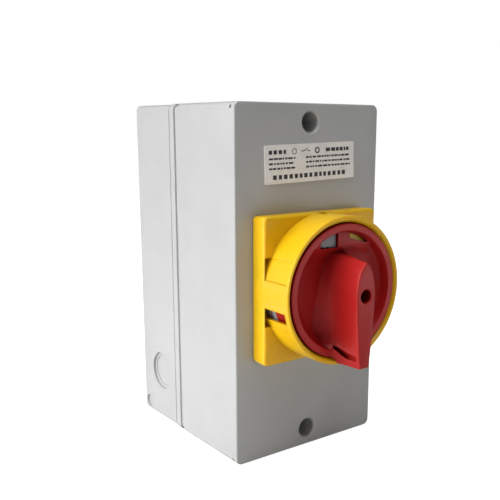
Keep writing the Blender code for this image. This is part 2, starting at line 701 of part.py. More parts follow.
def rotary_handle():
    rim = BOX_DEPTH + HANDLE_RIM
    floor = BOX_DEPTH + DISH_FLOOR
    under = floor - 0.002
    skirt = BOX_DEPTH + SKIRT_REAR
    profile = [
        (0, floor),
        (0.0205, floor),
        (0.0232, floor + 0.0008),
        (0.0250, floor + 0.0028),
        (DISH_RADIUS, rim - 0.0004),
        (DISH_RADIUS + 0.0005, rim),
        (HANDLE_RADIUS - 0.0005, rim),
        (HANDLE_RADIUS, rim - 0.0005),
        (HANDLE_RADIUS, skirt),
        (SKIRT_INNER, skirt),
        (SKIRT_INNER, rim - 0.0030),
        (0.0272, rim - 0.0030),
        (0.0262, under + 0.0018),
        (0.0240, under),
        (HUB_RADIUS, under),
        (HUB_RADIUS, BOX_DEPTH + HUB_REAR),
        (0, BOX_DEPTH + HUB_REAR),
    ]
    handle = turned("rotary_handle", profile, 48, finish_name="handle_red")
    join(handle, grip())
    join(handle, dish_shelf())
    front = BOX_DEPTH + DISH_SHELF + 0.002
    outline = dish_window(1, *FLAG_POCKET, 0.0256)
    pocket_top = BOX_DEPTH + FLAG_REAR + FLAG_THICK + GAP
    pocket = flat_shape("flag_pocket", [outline], under - 0.001, pocket_top)
    cut(handle, tool("flag_pocket", pocket))
    for side, word, window in ((-1, "left", WINDOW_LEFT), (1, "right", WINDOW_RIGHT)):
        name = "dish_window_" + word
        outline = dish_window(side, *window)
        cut(handle, tool(name, flat_shape(name, [outline], under - 0.0015, front)))
        name = "nose_slot_" + word
        mesh = box(name, (-0.0009, -0.0028, BOX_DEPTH + 0.0215), (0.0009, 0.0028, BOX_DEPTH + 0.036))
        turn = (0, 0, -side * math.radians(37))
        cut(handle, tool(name, mesh, at=(side * 0.0046, -0.0262, 0), turn=turn))
    seat = BOX_DEPTH + SCREW_SEAT
    cut(handle, tool("grip_hole", rod("grip_hole", GRIP_HOLE, seat, BOX_DEPTH + 0.045, 24)))
    bore = rod("handle_screw_hole", 0.0019, BOX_DEPTH + 0.010, seat + 0.001)
    cut(handle, tool("handle_screw_hole", bore))
    socket = block("handle_socket", 0.0048, 0.0048, BOX_DEPTH + 0.003, BOX_DEPTH + 0.0123)
    cut(handle, tool("handle_socket", socket))


def lock_slide():
    """Grey slide in the handle's left window, pressed in to let a padlock through."""
    clearance = 0.00015
    foot_top = BOX_DEPTH + DISH_FLOOR - 0.002 - clearance
    outline = dish_window(-1, *WINDOW_LEFT, inset=clearance)
    body = flat_shape("lock_slide", [outline], BOX_DEPTH + SLIDE_REAR + GAP, BOX_DEPTH + SLIDE_FRONT)
    slide = piece("lock_slide", body, "lock_grey")
    near, far, (low, _) = WINDOW_LEFT
    outline = dish_window(-1, near - 0.001, far + 0.0013, (low - 0.0013, low - 0.0013), DISH_WALL - 0.0015)
    foot = flat_shape("slide_foot", [outline], BOX_DEPTH + SLIDE_REAR, foot_top)
    join(slide, tool("slide_foot", foot))


def lock_flag():
    """Yellow flag in a pocket under the handle's right window."""
    low = BOX_DEPTH + FLAG_REAR
    outline = dish_window(1, *FLAG_POCKET, 0.0256, 0.0002)
    mesh = flat_shape("lock_flag", [outline], low, low + FLAG_THICK)
    piece("lock_flag", mesh, "lock_yellow")


def drive_bush():
    """Carries the turn through the cover: the handle sits on its front, the shaft in its rear."""
    shoulder = BOX_DEPTH - FRONT_WALL - GAP
    profile = [
        (0, BOX_DEPTH + 0.0036),
        (0.0085, BOX_DEPTH + 0.0036),
        (0.0085, shoulder),
        (0.0115, shoulder),
        (0.0115, shoulder - 0.0035),
        (0.0085, shoulder - 0.0035),
        (0.0085, BUSH_REAR),
        (0, BUSH_REAR),
    ]
    bush = turned("drive_bush", profile, 24, finish_name="deck_black")
    tang = block("bush_tang", 0.0045, 0.0045, BOX_DEPTH + 0.001, BOX_DEPTH + 0.012)
    join(bush, tool("bush_tang", tang))
    half = SHAFT_SIDE / 2 + GAP
    cut(bush, tool("bush_socket", block("bush_socket", half, half, BUSH_REAR - 0.001, 0.084)))
    cut(bush, tool("bush_screw_hole", rod("bush_screw_hole", 0.0019, 0.083, BOX_DEPTH + 0.013, 16)))


def handle_screw():
    seat = BOX_DEPTH + SCREW_SEAT + GAP
    screw("handle_screw", "zinc_steel", (0, 0), 0.0016, 0.087, seat, 0.0026, 0.0024)


# ---------------------------------------------------------------- switch stack
def tie_bolt_centres():
    return [(-TIE_BOLT_X, TIE_BOLT_UP), (TIE_BOLT_X, -TIE_BOLT_UP)]


def mounting_plate():
    outline = rounded_rectangle(0.048, 0.094, 0.003)
    holes = [circle(0.0065)]
    holes += [circle(0.0019, centre, 12) for centre in tie_bolt_centres()]
    holes += [circle(0.0019, (0, side * MOUNT_SCREW_UP), 12) for side in (-1, 1)]
    top = MOUNT_PLATE_REAR + 0.002
    mesh = flat_shape("switch_mounting_plate", [outline, *holes], MOUNT_PLATE_REAR, top)
    piece("switch_mounting_plate", mesh, "zinc_steel")


def mount_screws():
    for name, side in (("switch_mount_screw_top", 1), ("switch_mount_screw_bottom", -1)):
        at = (0, side * MOUNT_SCREW_UP)
        screw(name, "zinc_steel", at, 0.0016, 0.002, MOUNT_PLATE_REAR + 0.002 + GAP, 0.0032, 0.0022)


def terminal_up(half_height):
    """The terminals stand just inside the end of their deck."""
    return half_height - 0.0042


def terminal_sides():
    words = {(-1, -1): "bottom_left", (1, -1): "bottom_right", (-1, 1): "top_left", (1, 1): "top_right"}
    return words.items()


def contact_deck(name, low, half_height):
    deck = piece(name, block(name, DECK_HALF_WIDTH, half_height, low, low + DECK_THICK), "deck_black")
    chamber = rod(name + "_chamber", CHAMBER_RADIUS, low - 0.001, low + DECK_THICK + 0.001, 32)
    cut(deck, tool(name + "_chamber", chamber))
    strap = low + STRAP_LEVEL
    inner = TERMINAL_X - TERMINAL_HALF - GAP
    outer = TERMINAL_X + TERMINAL_HALF + GAP
    pocket = terminal_up(half_height) - 0.0042
    for (side, end), word in terminal_sides():
        x_limits = sorted((side * inner, side * outer))
        y_limits = sorted((end * 0.010, end * (half_height + 0.001)))
        slot = box(
            f"{name}_slot_{word}",
            (x_limits[0], y_limits[0], strap - GAP),
            (x_limits[1], y_limits[1], strap + STRAP_THICK + GAP),
        )
        cut(deck, tool(slot.name, slot))
        y_limits = sorted((end * pocket, end * (half_height + 0.001)))
        room = box(
            f"{name}_pocket_{word}",
            (x_limits[0], y_limits[0], strap),
            (x_limits[1], y_limits[1], low + DECK_THICK + 0.001),
        )
        cut(deck, tool(room.name, room))
    up = terminal_up(half_height)
    centres = [(side * TERMINAL_X, end * up) for (side, end), _ in terminal_sides()]
    drill(deck, 0.0023, centres, low + 0.0012, strap + 0.001, 12)
    drill(deck, 0.0020, tie_bolt_centres(), low - 0.001, low + DECK_THICK + 0.001, 12)


def fixed_contacts(word, low, half_height):
    """A strap from each terminal to the edge of the rotor's chamber."""
    strap = low + STRAP_LEVEL
    for (side, end), place in terminal_sides():
        name = f"fixed_contact_{word}_{place}"
        centre = (side * TERMINAL_X, end * terminal_up(half_height))
        low_x, high_x = centre[0] - TERMINAL_HALF, centre[0] + TERMINAL_HALF
        y_limits = sorted((end * 0.0105, end * (half_height - 0.0005)))
        mesh = box(name, (low_x, y_limits[0], strap), (high_x, y_limits[1], strap + STRAP_THICK))
        contact = piece(name, mesh, "brass")
        sweep = rod(name + "_sweep", 0.0180, strap - 0.001, strap + 0.003, 32)
        cut(contact, tool(name + "_sweep", sweep))
        drill(contact, 0.0023, [centre], strap - 0.001, strap + 0.003)


def terminal_screws(word, low, half_height):
    seat = low + STRAP_LEVEL + STRAP_THICK + GAP
    for (side, end), place in terminal_sides():
        at = (side * TERMINAL_X, end * terminal_up(half_height))
        name = f"terminal_screw_{word}_{place}"
        screw(name, "zinc_steel", at, 0.0019, low + 0.0016, seat, 0.0034, 0.0032)


def rotor(word, low):
    """An insulating drum that carries two moving blades."""
    name = f"rotor_{word}"
    high = low + DECK_THICK
    drum = piece(name, rod(name, ROTOR_RADIUS, low + 0.0006, high - 0.0006, 24), "rotor_cream")
    half = SHAFT_SIDE / 2 + GAP
    socket = block(name + "_socket", half, half, low - 0.001, high + 0.001)
    cut(drum, tool(name + "_socket", socket))
    blade_low = low + STRAP_LEVEL - 0.0015
    blade_high = blade_low + 0.005
    for side, place in ((-1, "left"), (1, "right")):
        x = side * BLADE_OFFSET
        slot = box(
            f"{name}_slot_{place}",
            (x - 0.0008 - GAP, -0.02, blade_low - GAP),
            (x + 0.0008 + GAP, 0.02, blade_high + GAP),
        )
        cut(drum, tool(slot.name, slot))
        blade_name = f"moving_blade_{word}_{place}"
        mesh = box(
            blade_name,
            (x - 0.0008, -BLADE_HALF_LENGTH, blade_low),
            (x + 0.0008, BLADE_HALF_LENGTH, blade_high),
        )
        piece(blade_name, mesh, "copper")


def switch_shaft():
    half = SHAFT_SIDE / 2
    shaft = piece("switch_shaft", block("switch_shaft", half, half, SHAFT_REAR, SHAFT_FRONT), "zinc_steel")
    soften(shaft, 0.0006, 1)


# ---------------------------------------------------------------- detent
def detent_star():
    outline = []
    for step in range(32):
        angle = 2 * math.pi * step / 32
        radius = STAR_MEAN - STAR_LOBE * math.cos(4 * angle)
        outline.append((radius * math.cos(angle), radius * math.sin(angle)))
    half = SHAFT_SIDE / 2 + GAP
    hole = [(half, half), (-half, half), (-half, -half), (half, -half)]
    low = DETENT_LOW + 0.0031
    mesh = flat_shape("detent_star", [outline, hole], low, low + 0.0074)
    piece("detent_star", mesh, "rotor_cream")


def detent_housing():
    high = DETENT_LOW + DETENT_THICK
    mesh = block("detent_housing", DECK_HALF_WIDTH, DETENT_HALF_HEIGHT, DETENT_LOW, high)
    housing = piece("detent_housing", mesh, "deck_black")
    soften(housing, 0.0008, 1)
    cut(housing, tool("detent_room", rod("detent_room", 0.0112, DETENT_LOW - 0.001, high + 0.001, 24)))
    corner = (-CHANNEL_END, -0.0035, DETENT_LOW + 0.0030)
    channel = box("detent_channel", corner, (CHANNEL_END, 0.0035, high - 0.0030))
    cut(housing, tool("detent_channel", channel))
    drill(housing, 0.0020, tie_bolt_centres(), DETENT_LOW - 0.001, high + 0.001, 12)


def detent_plunger(name, side):
    """A sprung block whose round nose drops into the star's notches."""
    nose = 0.0032
    samples = 6
    outline = []
    for step in range(samples + 1):
        angle = math.radians(90 + 180 * step / samples)
        outline.append((side * (PLUNGER_NOSE + nose + nose * math.cos(angle)), nose * math.sin(angle)))
    outline += [(side * PLUNGER_BACK, -nose), (side * PLUNGER_BACK, nose)]
    low = DETENT_LOW + 0.0034
    piece(name, flat_shape(name, [outline], low, low + 0.0062), "zinc_steel")


def detent_spring(name, side):
    turns, per_turn, radius, wire = 4, 8, 0.0022, 0.00035
    start, end = PLUNGER_BACK + GAP + wire, CHANNEL_END - GAP - wire
    centre = DETENT_LOW + DETENT_THICK / 2
    curve = bpy.data.curves.new(name, "CURVE")
    curve.dimensions = "3D"
    curve.bevel_depth = wire
    curve.bevel_resolution = 1
    curve.use_fill_caps = True
    spline = curve.splines.new("POLY")
    count = turns * per_turn + 1
    spline.points.add(count - 1)
    for i, point in enumerate(spline.points):
        angle = 2 * math.pi * i / per_turn
        x = side * (start + (end - start) * i / (count - 1))
        point.co = (x, radius * math.cos(angle), centre + radius * math.sin(angle), 1)
    piece(name, curve, "zinc_steel")


def detent_cap():
    outline = rounded_rectangle(2 * DECK_HALF_WIDTH, 2 * DETENT_HALF_HEIGHT, 0.0015)
    holes = [circle(0.0065)] + [circle(0.0020, centre, 12) for centre in tie_bolt_centres()]
    mesh = flat_shape("detent_cap", [outline, *holes], CAP_LOW, CAP_LOW + CAP_THICK)
    piece("detent_cap", mesh, "zinc_steel")


def tie_bolts():
    seat = CAP_LOW + CAP_THICK + GAP
    for name, at in zip(("tie_bolt_left", "tie_bolt_right"), tie_bolt_centres()):
        screw(name, "zinc_steel", at, 0.0016, MOUNT_PLATE_REAR + 0.0003, seat, 0.0031, 0.0024)


def earth_terminal():
    low, high = 0.012, 0.017
    mesh = box("earth_bar", (-0.017, EARTH_UP - 0.004, low), (0.017, EARTH_UP + 0.004, high))
    bar = piece("earth_bar", mesh, "brass")
    soften(bar, 0.0005, 1)
    centres = [(-EARTH_SCREW_X, EARTH_UP), (EARTH_SCREW_X, EARTH_UP)]
    drill(bar, 0.0019, centres, low - 0.001, high + 0.001)
    for name, side in (("earth_screw_left", -1), ("earth_screw_right", 1)):
        screw(name, "brass", (side * EARTH_SCREW_X, EARTH_UP), 0.0015, 0.004, high + GAP, 0.0032, 0.0026)


def build():
    clear_scene()
    rear_enclosure()
    front_cover()
    cover_gasket()
    cover_screws()
    rating_label()
    padlock_plate()
    plate_screws()
    plate_gasket()
    lock_ring()
    shaft_seal()
    rotary_handle()
    lock_slide()
    lock_flag()
    drive_bush()
    handle_screw()
    mounting_plate()
    mount_screws()
    for word, low, half_height in (
        ("rear", REAR_DECK_LOW, REAR_DECK_HALF_HEIGHT),
        ("front", FRONT_DECK_LOW, FRONT_DECK_HALF_HEIGHT),
    ):
        contact_deck(f"contact_deck_{word}", low, half_height)
        fixed_contacts(word, low, half_height)
        terminal_screws(word, low, half_height)
        rotor(word, low)
    switch_shaft()
    detent_star()
    detent_housing()
    for word, side in (("left", -1), ("right", 1)):
        detent_plunger(f"detent_plunger_{word}", side)
        detent_spring(f"detent_spring_{word}", side)
    detent_cap()
    tie_bolts()
    earth_terminal()


build()
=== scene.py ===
"""Looks of a padlockable rotary isolator switch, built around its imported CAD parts.

Units are metres in the part's own frame: the wall is the plane Y = 0, +Z is up and the handle
faces -Y. Shapes are drawn lying down, as (x to the right, y up the wall, z out of the wall), and
each finished mesh is stood up by one turn about X.
"""
import json
import math
import random

import bmesh
import bpy
from mathutils import Matrix, Vector

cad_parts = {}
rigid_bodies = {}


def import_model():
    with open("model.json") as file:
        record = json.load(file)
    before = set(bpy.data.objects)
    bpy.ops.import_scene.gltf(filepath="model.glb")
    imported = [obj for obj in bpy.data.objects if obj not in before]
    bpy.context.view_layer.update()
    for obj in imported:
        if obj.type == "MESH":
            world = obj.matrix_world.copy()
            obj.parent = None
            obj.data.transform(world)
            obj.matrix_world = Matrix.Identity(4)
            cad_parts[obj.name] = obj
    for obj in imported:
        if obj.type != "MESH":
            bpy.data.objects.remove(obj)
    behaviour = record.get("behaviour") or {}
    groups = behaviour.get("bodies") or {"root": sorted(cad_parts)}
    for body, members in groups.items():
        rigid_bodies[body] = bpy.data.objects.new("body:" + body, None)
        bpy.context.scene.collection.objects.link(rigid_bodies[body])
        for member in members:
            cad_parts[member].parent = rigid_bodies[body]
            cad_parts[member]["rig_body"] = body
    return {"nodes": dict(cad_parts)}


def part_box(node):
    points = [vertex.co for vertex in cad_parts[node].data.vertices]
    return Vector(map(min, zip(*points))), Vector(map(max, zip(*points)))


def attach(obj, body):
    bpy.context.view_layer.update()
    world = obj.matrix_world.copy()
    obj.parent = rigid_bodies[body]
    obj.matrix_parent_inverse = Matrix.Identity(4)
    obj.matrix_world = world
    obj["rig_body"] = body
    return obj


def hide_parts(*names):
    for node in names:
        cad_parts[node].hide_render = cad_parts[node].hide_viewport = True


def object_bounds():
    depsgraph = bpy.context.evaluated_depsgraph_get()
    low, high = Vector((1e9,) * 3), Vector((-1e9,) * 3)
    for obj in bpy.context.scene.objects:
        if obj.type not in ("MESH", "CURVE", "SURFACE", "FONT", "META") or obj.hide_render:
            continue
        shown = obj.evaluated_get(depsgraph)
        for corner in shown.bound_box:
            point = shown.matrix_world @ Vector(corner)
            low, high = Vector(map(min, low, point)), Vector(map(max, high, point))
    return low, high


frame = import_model()
CAD_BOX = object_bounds()
STAND = Matrix.Rotation(math.radians(90), 4, "X")
QUARTER = math.radians(90)


def lying(node):
    """Lowest and highest corner of a CAD node as (x, up, out)."""
    low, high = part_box(node)
    return Vector((low.x, low.z, -high.y)), Vector((high.x, high.z, -low.y))


# ---------------------------------------------------------------- dimensions
# Places out of the wall are counted from the wall on the enclosure, and from the cover's front
# face on the padlock plate and the handle.
COVER_LOW, COVER_HIGH = lying("front_cover")
PLATE_LOW = lying("padlock_plate")[0]
HANDLE_LOW, HANDLE_HIGH = lying("rotary_handle")
LABEL_LOW, LABEL_HIGH = lying("rating_label")
RING_LOW = lying("lock_ring")[0]

HALF_X = COVER_HIGH.x
HALF_Y = COVER_HIGH.y
FRONT = COVER_HIGH.z  # the cover's front face
SEAM = COVER_LOW.z  # the cover's rear edge
GAP = 0.0003  # between pieces that don't touch
PAST = 0.001  # how far a cutter reaches past the surface it opens

CORNER = 0.003  # radius of the long edges that run out of the wall
FRONT_EDGE = 0.0007
REAR_EDGE = 0.0004
WALL = 0.0026
FRONT_WALL = 0.003
REAR_WALL = 0.003
RIM_FRONT = 0.0377
RIM_REAR = 0.034
RIM_STEP = 0.00035  # how far the rim stands out from the side walls
RIM_GROOVE = (0.0012, 0.0001)  # far and near edge of the groove behind the rim
RIM_GROOVE_DEPTH = 0.0005
SHOULDER_INSET = 0.001  # of the shoulder behind the cover's rear edge
LIP_TOP = lying("rear_enclosure")[1].z
LIP_INSET = 0.0029
LIP_INNER_INSET = 0.0044
LEDGE = 0.0461
SCREW_UP = (lying("cover_screw_top")[0].y + lying("cover_screw_top")[1].y) / 2
WELL_RADIUS = 0.0045
WELL_MOUTH = 0.0053
WELL_FLOOR = 0.0486
COVER_SCREW_HOLE = 0.0024  # radius
SHAFT_HOLE = 0.0092  # radius, in the cover
PLATE_SCREW_HOLE = 0.0019  # radius
MOUNT_UP = 0.042  # height of the switch's mounting bosses over the middle
EARTH_SCREW_X = 0.010
WALL_HOLE_X = 0.028
WALL_HOLE_Y = 0.062
SIDE_ENTRY_RADIUS = 0.0096
SIDE_ENTRY_UP = -0.0536
SIDE_ENTRY_OUT = 0.0194
END_ENTRY_RADIUS = 0.0125
END_ENTRY_OUT = 0.018
ENTRY_STEP = 0.0012  # depth of a knockout's outer step
ENTRY_DEPTH = 0.00165
PIT_RADIUS = 0.0008
PIT_DEPTH = 0.001
DIMPLE_RADIUS = 0.0031
DIMPLE_UP = -0.0741
DIMPLE_OUT = 0.0046

LABEL_HALF_X = 0.02565
LABEL_HALF_Y = 0.0083
LABEL_TILT = math.radians(1.67)

PLATE_HALF_X = 0.0321
PLATE_HALF_Y = 0.0328
DRUM_RADIUS = 0.0322
DRUM_STRETCH = 1.02  # the drum is a little taller than wide
DRUM_BORE = 0.03005
DRUM_HEIGHT = 0.0252
PLATE_THICK = 0.0092
PLATE_CORNER = 0.0022
PANEL_RADIUS = 0.03185
UPPER_BAND = (0.0043, 0.0154)
LOWER_BAND = (-0.0149, -0.0063)
BAND_FRONT = 0.0238
WINDOW_UP = (0.0063, 0.0114)
WINDOW_REAR = 0.0053
WINDOW_FRONT = 0.022
TOP_SLIT = (-0.0030, 0.0022)  # across the drum's crown, low down
TOP_SLIT_OUT = (0.0080, 0.0142)
STOP_LUG = (0.0070, 0.0195, (0.0140, 0.0140), 0.0256)  # as in dish_window
STOP_LUG_TOP = 0.0147
RING_RADIUS = 0.0292
RING_WAIST_RADIUS = 0.0278
RING_WAIST_TOP = 0.0057

HANDLE_RADIUS = 0.0296
HANDLE_RIM = 0.0247
DISH_RADIUS = 0.0264
DISH_FLOOR = 0.018
DISH_SHELF = 0.022
SHELF_ARC = 0.0262
WINDOW_ARC = 0.0253
LEFT_WINDOW = (0.0023, 0.0121, (0.0191, 0.0191))  # as in dish_window
RIGHT_WINDOW = (0.0044, 0.0149, (0.0224, 0.0198))
SLIDE_FOOT = (0.0013, 0.0134, (0.0178, 0.0178), 0.0238)
LOCK_FLAG = (0.0036, 0.0166, (0.0182, 0.0182), 0.0254)
GRIP_FRONT = HANDLE_HIGH.z - FRONT
GRIP_TOP = 0.0143
GRIP_FOOT_TOP = 0.0168
GRIP_FOOT_BOTTOM = -0.0288
NOSE_END = HANDLE_LOW.y
NOSE_SLOT = (0.0046, -0.0262)
NOSE_SLOT_TURN = math.radians(37.3)
SKIRT_REAR = 0.0122
SKIRT_INNER = 0.0281
SCREW_SEAT = 0.0145  # of the handle screw, down the grip


# ---------------------------------------------------------------- materials
def add(tree, kind, inputs=(), **settings):
    """Adds a shader node. Input values may be sockets, which are then linked."""
    made = tree.nodes.new("ShaderNode" + kind)
    for key, value in settings.items():
        setattr(made, key, value)
    for key, value in dict(inputs).items():
        if isinstance(value, bpy.types.NodeSocket):
            tree.links.new(value, made.inputs[key])
        else:
            made.inputs[key].default_value = value
    return made


def mixed(tree, factor, a, b):
    """A colour between a and b."""
    return add(tree, "Mix", {0: factor, 6: a, 7: b}, data_type="RGBA").outputs[2]


def ranged(tree, value, low, high, start=0.0, end=1.0):
    """value from low..high mapped to start..end."""
    inputs = {"Value": value, "From Min": low, "From Max": high, "To Min": start, "To Max": end}
    return add(tree, "MapRange", inputs).outputs[0]


def noise(tree, place, size, detail=2.0, roughness=0.5):
    """Noise whose features are about size metres across."""
    inputs = {"Vector": place, "Scale": 1 / size, "Detail": detail, "Roughness": roughness}
    return add(tree, "TexNoise", inputs).outputs[0]


def edge_mask(tree, radius):
    """0 on open faces and 1 along edges, with the rounded normal that gives it."""
    rounded = add(tree, "Bevel", {"Radius": radius}, samples=4).outputs[0]
    plain = add(tree, "NewGeometry").outputs["Normal"]
    agree = add(tree, "VectorMath", {0: rounded, 1: plain}, operation="DOT_PRODUCT").outputs["Value"]
    return ranged(tree, agree, 0.995, 0.85), rounded


def bumped(tree, height, strength, depth, normal):
    """A normal tilted by a height pattern that is depth metres deep."""
    inputs = {"Strength": strength, "Distance": depth, "Height": height, "Normal": normal}
    return add(tree, "Bump", inputs).outputs[0]


def new_material(name):
    """A material with its tree, its surface shader and object coordinates."""
    material = bpy.data.materials.new(name)
    material.use_nodes = True
    tree = material.node_tree
    surface = tree.nodes["Principled BSDF"]
    place = add(tree, "TexCoord").outputs["Object"]
    return material, tree, surface, place


def scaled(colour, factor):
    return (*(channel * factor for channel in colour), 1.0)


def moulded(
    name, colour, roughness, grain=0.0004, depth=0.00001, glow=0.0, wear=0.25, gloss=0.5, hollow_painted_shade=0.0
):
    """Moulded plastic: a faint cloudy tint, fine eroded grain, rubbed edges and uneven sheen.

    glow scatters light under the surface, and cavity sets painted shade: hollows that ambient occlusion
    finds get a darker colour and less specular.
    """
    material, tree, surface, place = new_material(name)
    clouds = noise(tree, place, 0.018, 3.0)
    specks = noise(tree, place, grain * 0.8, 1.0)
    smears = noise(tree, place, 0.006, 4.0, 0.6)
    mask, rounded = edge_mask(tree, 0.00035)
    tint = mixed(tree, ranged(tree, clouds, 0.3, 0.7), scaled(colour, 0.965), scaled(colour, 1.025))
    tint = mixed(tree, ranged(tree, specks, 0.62, 0.78, 0, 0.10), tint, scaled(colour, 0.72))
    lighter = tuple(min(1.0, channel * 1.12 + 0.02) for channel in colour)
    share = add(tree, "Math", {0: mask, 1: wear}, operation="MULTIPLY").outputs[0]
    tint = mixed(tree, share, tint, (*lighter, 1.0))
    if hollow_painted_shade:
        # Painted shade: in hollows that ambient occlusion finds, the colour darkens towards 0.15 of
        # itself and the specular level drops.
        openness = add(tree, "AmbientOcclusion", {"Distance": 0.012}, samples=8).outputs["AO"]
        tint = mixed(tree, ranged(tree, openness, 0.9, 0.4, 0, hollow_painted_shade), tint, scaled(colour, 0.15))
        shine = ranged(tree, openness, 0.9, 0.5, gloss, 0.05)
        tree.links.new(shine, surface.inputs["Specular IOR Level"])
    tree.links.new(tint, surface.inputs["Base Color"])
    sheen = ranged(tree, smears, 0.3, 0.7, roughness - 0.05, roughness + 0.07)
    tree.links.new(sheen, surface.inputs["Roughness"])
    relief = noise(tree, place, grain, 2.0, 0.6)
    sink = noise(tree, place, 0.03, 1.0)
    coarse = bumped(tree, sink, 0.25, 0.00012, rounded)
    tree.links.new(bumped(tree, relief, 0.6, depth, coarse), surface.inputs["Normal"])
    surface.inputs["Specular IOR Level"].default_value = gloss
    if glow:
        surface.inputs["Subsurface Weight"].default_value = glow
        surface.inputs["Subsurface Scale"].default_value = 0.003
        surface.inputs["Subsurface Radius"].default_value = (1.0, 0.6, 0.3)
    return material


def metal(name, colour, roughness, tarnish, brush=0.0, metallic=1.0):
    """Plated or rolled metal: cloudy tarnish, fine drawn lines and brighter rubbed edges."""
    material, tree, surface, place = new_material(name)
    mask, rounded = edge_mask(tree, 0.0002)
    clouds = noise(tree, place, 0.003, 4.0, 0.65)
    stretch = add(tree, "Mapping", {"Vector": place, "Scale": (1.0, 1.0, 0.08)}).outputs[0]
    lines = noise(tree, stretch, 0.00016, 2.0, 0.7)
    tint = mixed(tree, ranged(tree, clouds, 0.42, 0.72), (*colour, 1.0), (*tarnish, 1.0))
    tint = mixed(tree, mask, tint, (*(min(1.0, channel * 1.1) for channel in colour), 1.0))
    tree.links.new(tint, surface.inputs["Base Color"])
    surface.inputs["Metallic"].default_value = metallic
    shine = ranged(tree, clouds, 0.35, 0.75, roughness - 0.06, roughness + 0.16)
    tree.links.new(shine, surface.inputs["Roughness"])
    surface.inputs["Anisotropic"].default_value = brush
    tree.links.new(bumped(tree, lines, 0.5, 0.000006, rounded), surface.inputs["Normal"])
    return material


MATERIALS = {
    "enclosure_grey": moulded(
        "enclosure_grey_moulded", (0.45, 0.455, 0.45), 0.40, grain=0.00055, depth=0.000012
    ),
    "lock_yellow": moulded(
        "lock_yellow_moulded", (0.80, 0.475, 0.003), 0.36, depth=0.000006, glow=0.35, gloss=0.4
    ),
    # Painted shade darkens the handle's dish and its other hollows.
    "handle_red": moulded(
        "handle_red_moulded", (0.44, 0.012, 0.011), 0.34, depth=0.000006, wear=0.35, gloss=0.3, hollow_painted_shade=0.7
    ),
    "lock_grey": moulded("lock_grey_moulded", (0.30, 0.31, 0.33), 0.45),
    "deck_black": moulded("deck_black_moulded", (0.030, 0.031, 0.034), 0.42, grain=0.0003),
    "rotor_cream": moulded("rotor_cream_moulded", (0.72, 0.66, 0.52), 0.45),
    "seal_black": moulded(
        "seal_black_rubber", (0.020, 0.020, 0.021), 0.72, grain=0.0002, depth=0.00002, wear=0.05
    ),
    "label_silver": metal(
        "label_silver_foil", (0.92, 0.885, 0.845), 0.42, (0.80, 0.775, 0.745), brush=0.3, metallic=0.1
    ),
    "brass": metal("brass_rolled", (0.80, 0.58, 0.26), 0.28, (0.62, 0.42, 0.18), brush=0.4),
    "copper": metal("copper_rolled", (0.83, 0.44, 0.28), 0.27, (0.55, 0.27, 0.17), brush=0.4),
    "zinc_steel": metal("zinc_steel_plated", (0.72, 0.73, 0.74), 0.27, (0.56, 0.57, 0.56), brush=0.2),
}
LABEL_INK = moulded("label_ink", (0.035, 0.036, 0.045), 0.55, depth=0.000002, wear=0.0)


# ---------------------------------------------------------------- outlines
def filleted(points, closed=False, steps=6):
    """The outline through (a, b, radius) corners, each rounded to its own radius."""
    outline = []
    last = len(points) - 1
    for number, (a, b, radius) in enumerate(points):
        if radius == 0 or (not closed and number in (0, last)):
            outline.append((a, b))
            continue
        corner = Vector((a, b))
        before = (Vector(points[number - 1][:2]) - corner).normalized()
        after = (Vector(points[(number + 1) % len(points)][:2]) - corner).normalized()
        half = before.angle(after) / 2
        centre = corner + (before + after).normalized() * radius / math.sin(half)
        start = corner + before * radius / math.tan(half) - centre
        end = corner + after * radius / math.tan(half) - centre
        sweep = start.angle(end)
        for step in range(steps + 1):
            share = step / steps
            arm = start * math.sin((1 - share) * sweep) + end * math.sin(share * sweep)
            arm /= math.sin(sweep)
            outline.append((centre.x + arm.x, centre.y + arm.y))
    return outline


def rounded_rectangle(half_x, half_y, radius, steps=7):
    """A rectangle about the middle, with round corners."""
    quadrants = ((1, 1), (-1, 1), (-1, -1), (1, -1))
    corners = [(side_x * half_x, side_y * half_y, radius) for side_x, side_y in quadrants]
    return filleted(corners, closed=True, steps=steps)


def circle(radius, sides, centre=(0, 0)):
    angles = [2 * math.pi * step / sides for step in range(sides)]
    return [(centre[0] + radius * math.cos(a), centre[1] + radius * math.sin(a)) for a in angles]


# ---------------------------------------------------------------- meshes
def mesh_of(bm, name):
    bmesh.ops.recalc_face_normals(bm, faces=bm.faces)
    mesh = bpy.data.meshes.new(name)
    bm.to_mesh(mesh)
    bm.free()
    return mesh


def rectangle_rings(half_x, half_y, radius, levels, steps=7, least=0.0):
    """Rounded rectangles for a loft, one at each (inset, out) level."""
    rings = []
    for inset, out in levels:
        outline = rounded_rectangle(half_x - inset, half_y - inset, max(radius - inset, least), steps)
        rings.append([(x, y, out) for x, y in outline])
    return rings


def loft(name, rings, endless=False):
    """A skin over rings of equal length, with a cap at each end unless it closes on itself."""
    bm = bmesh.new()
    rows = [[bm.verts.new(point) for point in ring] for ring in rings]
    pairs = list(zip(rows, rows[1:]))
    if endless:
        pairs.append((rows[-1], rows[0]))
    for lower, upper in pairs:
        for i in range(len(lower)):
            after = (i + 1) % len(lower)
            bm.faces.new((lower[i], lower[after], upper[after], upper[i]))
    if not endless:
        bm.faces.new(rows[0])
        bm.faces.new(rows[-1])
    return mesh_of(bm, name)


def turned(name, profile, sides=96):
    """A turned solid. Its profile is (radius, out) pairs; radius 0 at an end stands for a flat cap."""
    solid = profile[0][0] == 0
    rings = [[(x, y, out) for x, y in circle(radius, sides)] for radius, out in profile if radius > 0]
    return loft(name, rings, endless=not solid)


def prism(name, outline, low, high, edge=0.0):
    """An extruded outline, with its top edge eased by scaling towards its middle."""
    rings = [[(x, y, low) for x, y in outline], [(x, y, high - edge) for x, y in outline]]
    if edge:
        reach = max(math.hypot(x, y) for x, y in outline)
        shrink = 1 - edge / reach
        rings.append([(x * shrink, y * shrink, high) for x, y in outline])
    return loft(name, rings)


def rod(name, radius, low, high, sides=64):
    """A plain turned pin or drill."""
    return turned(name, [(0, low), (radius, low), (radius, high), (0, high)], sides)


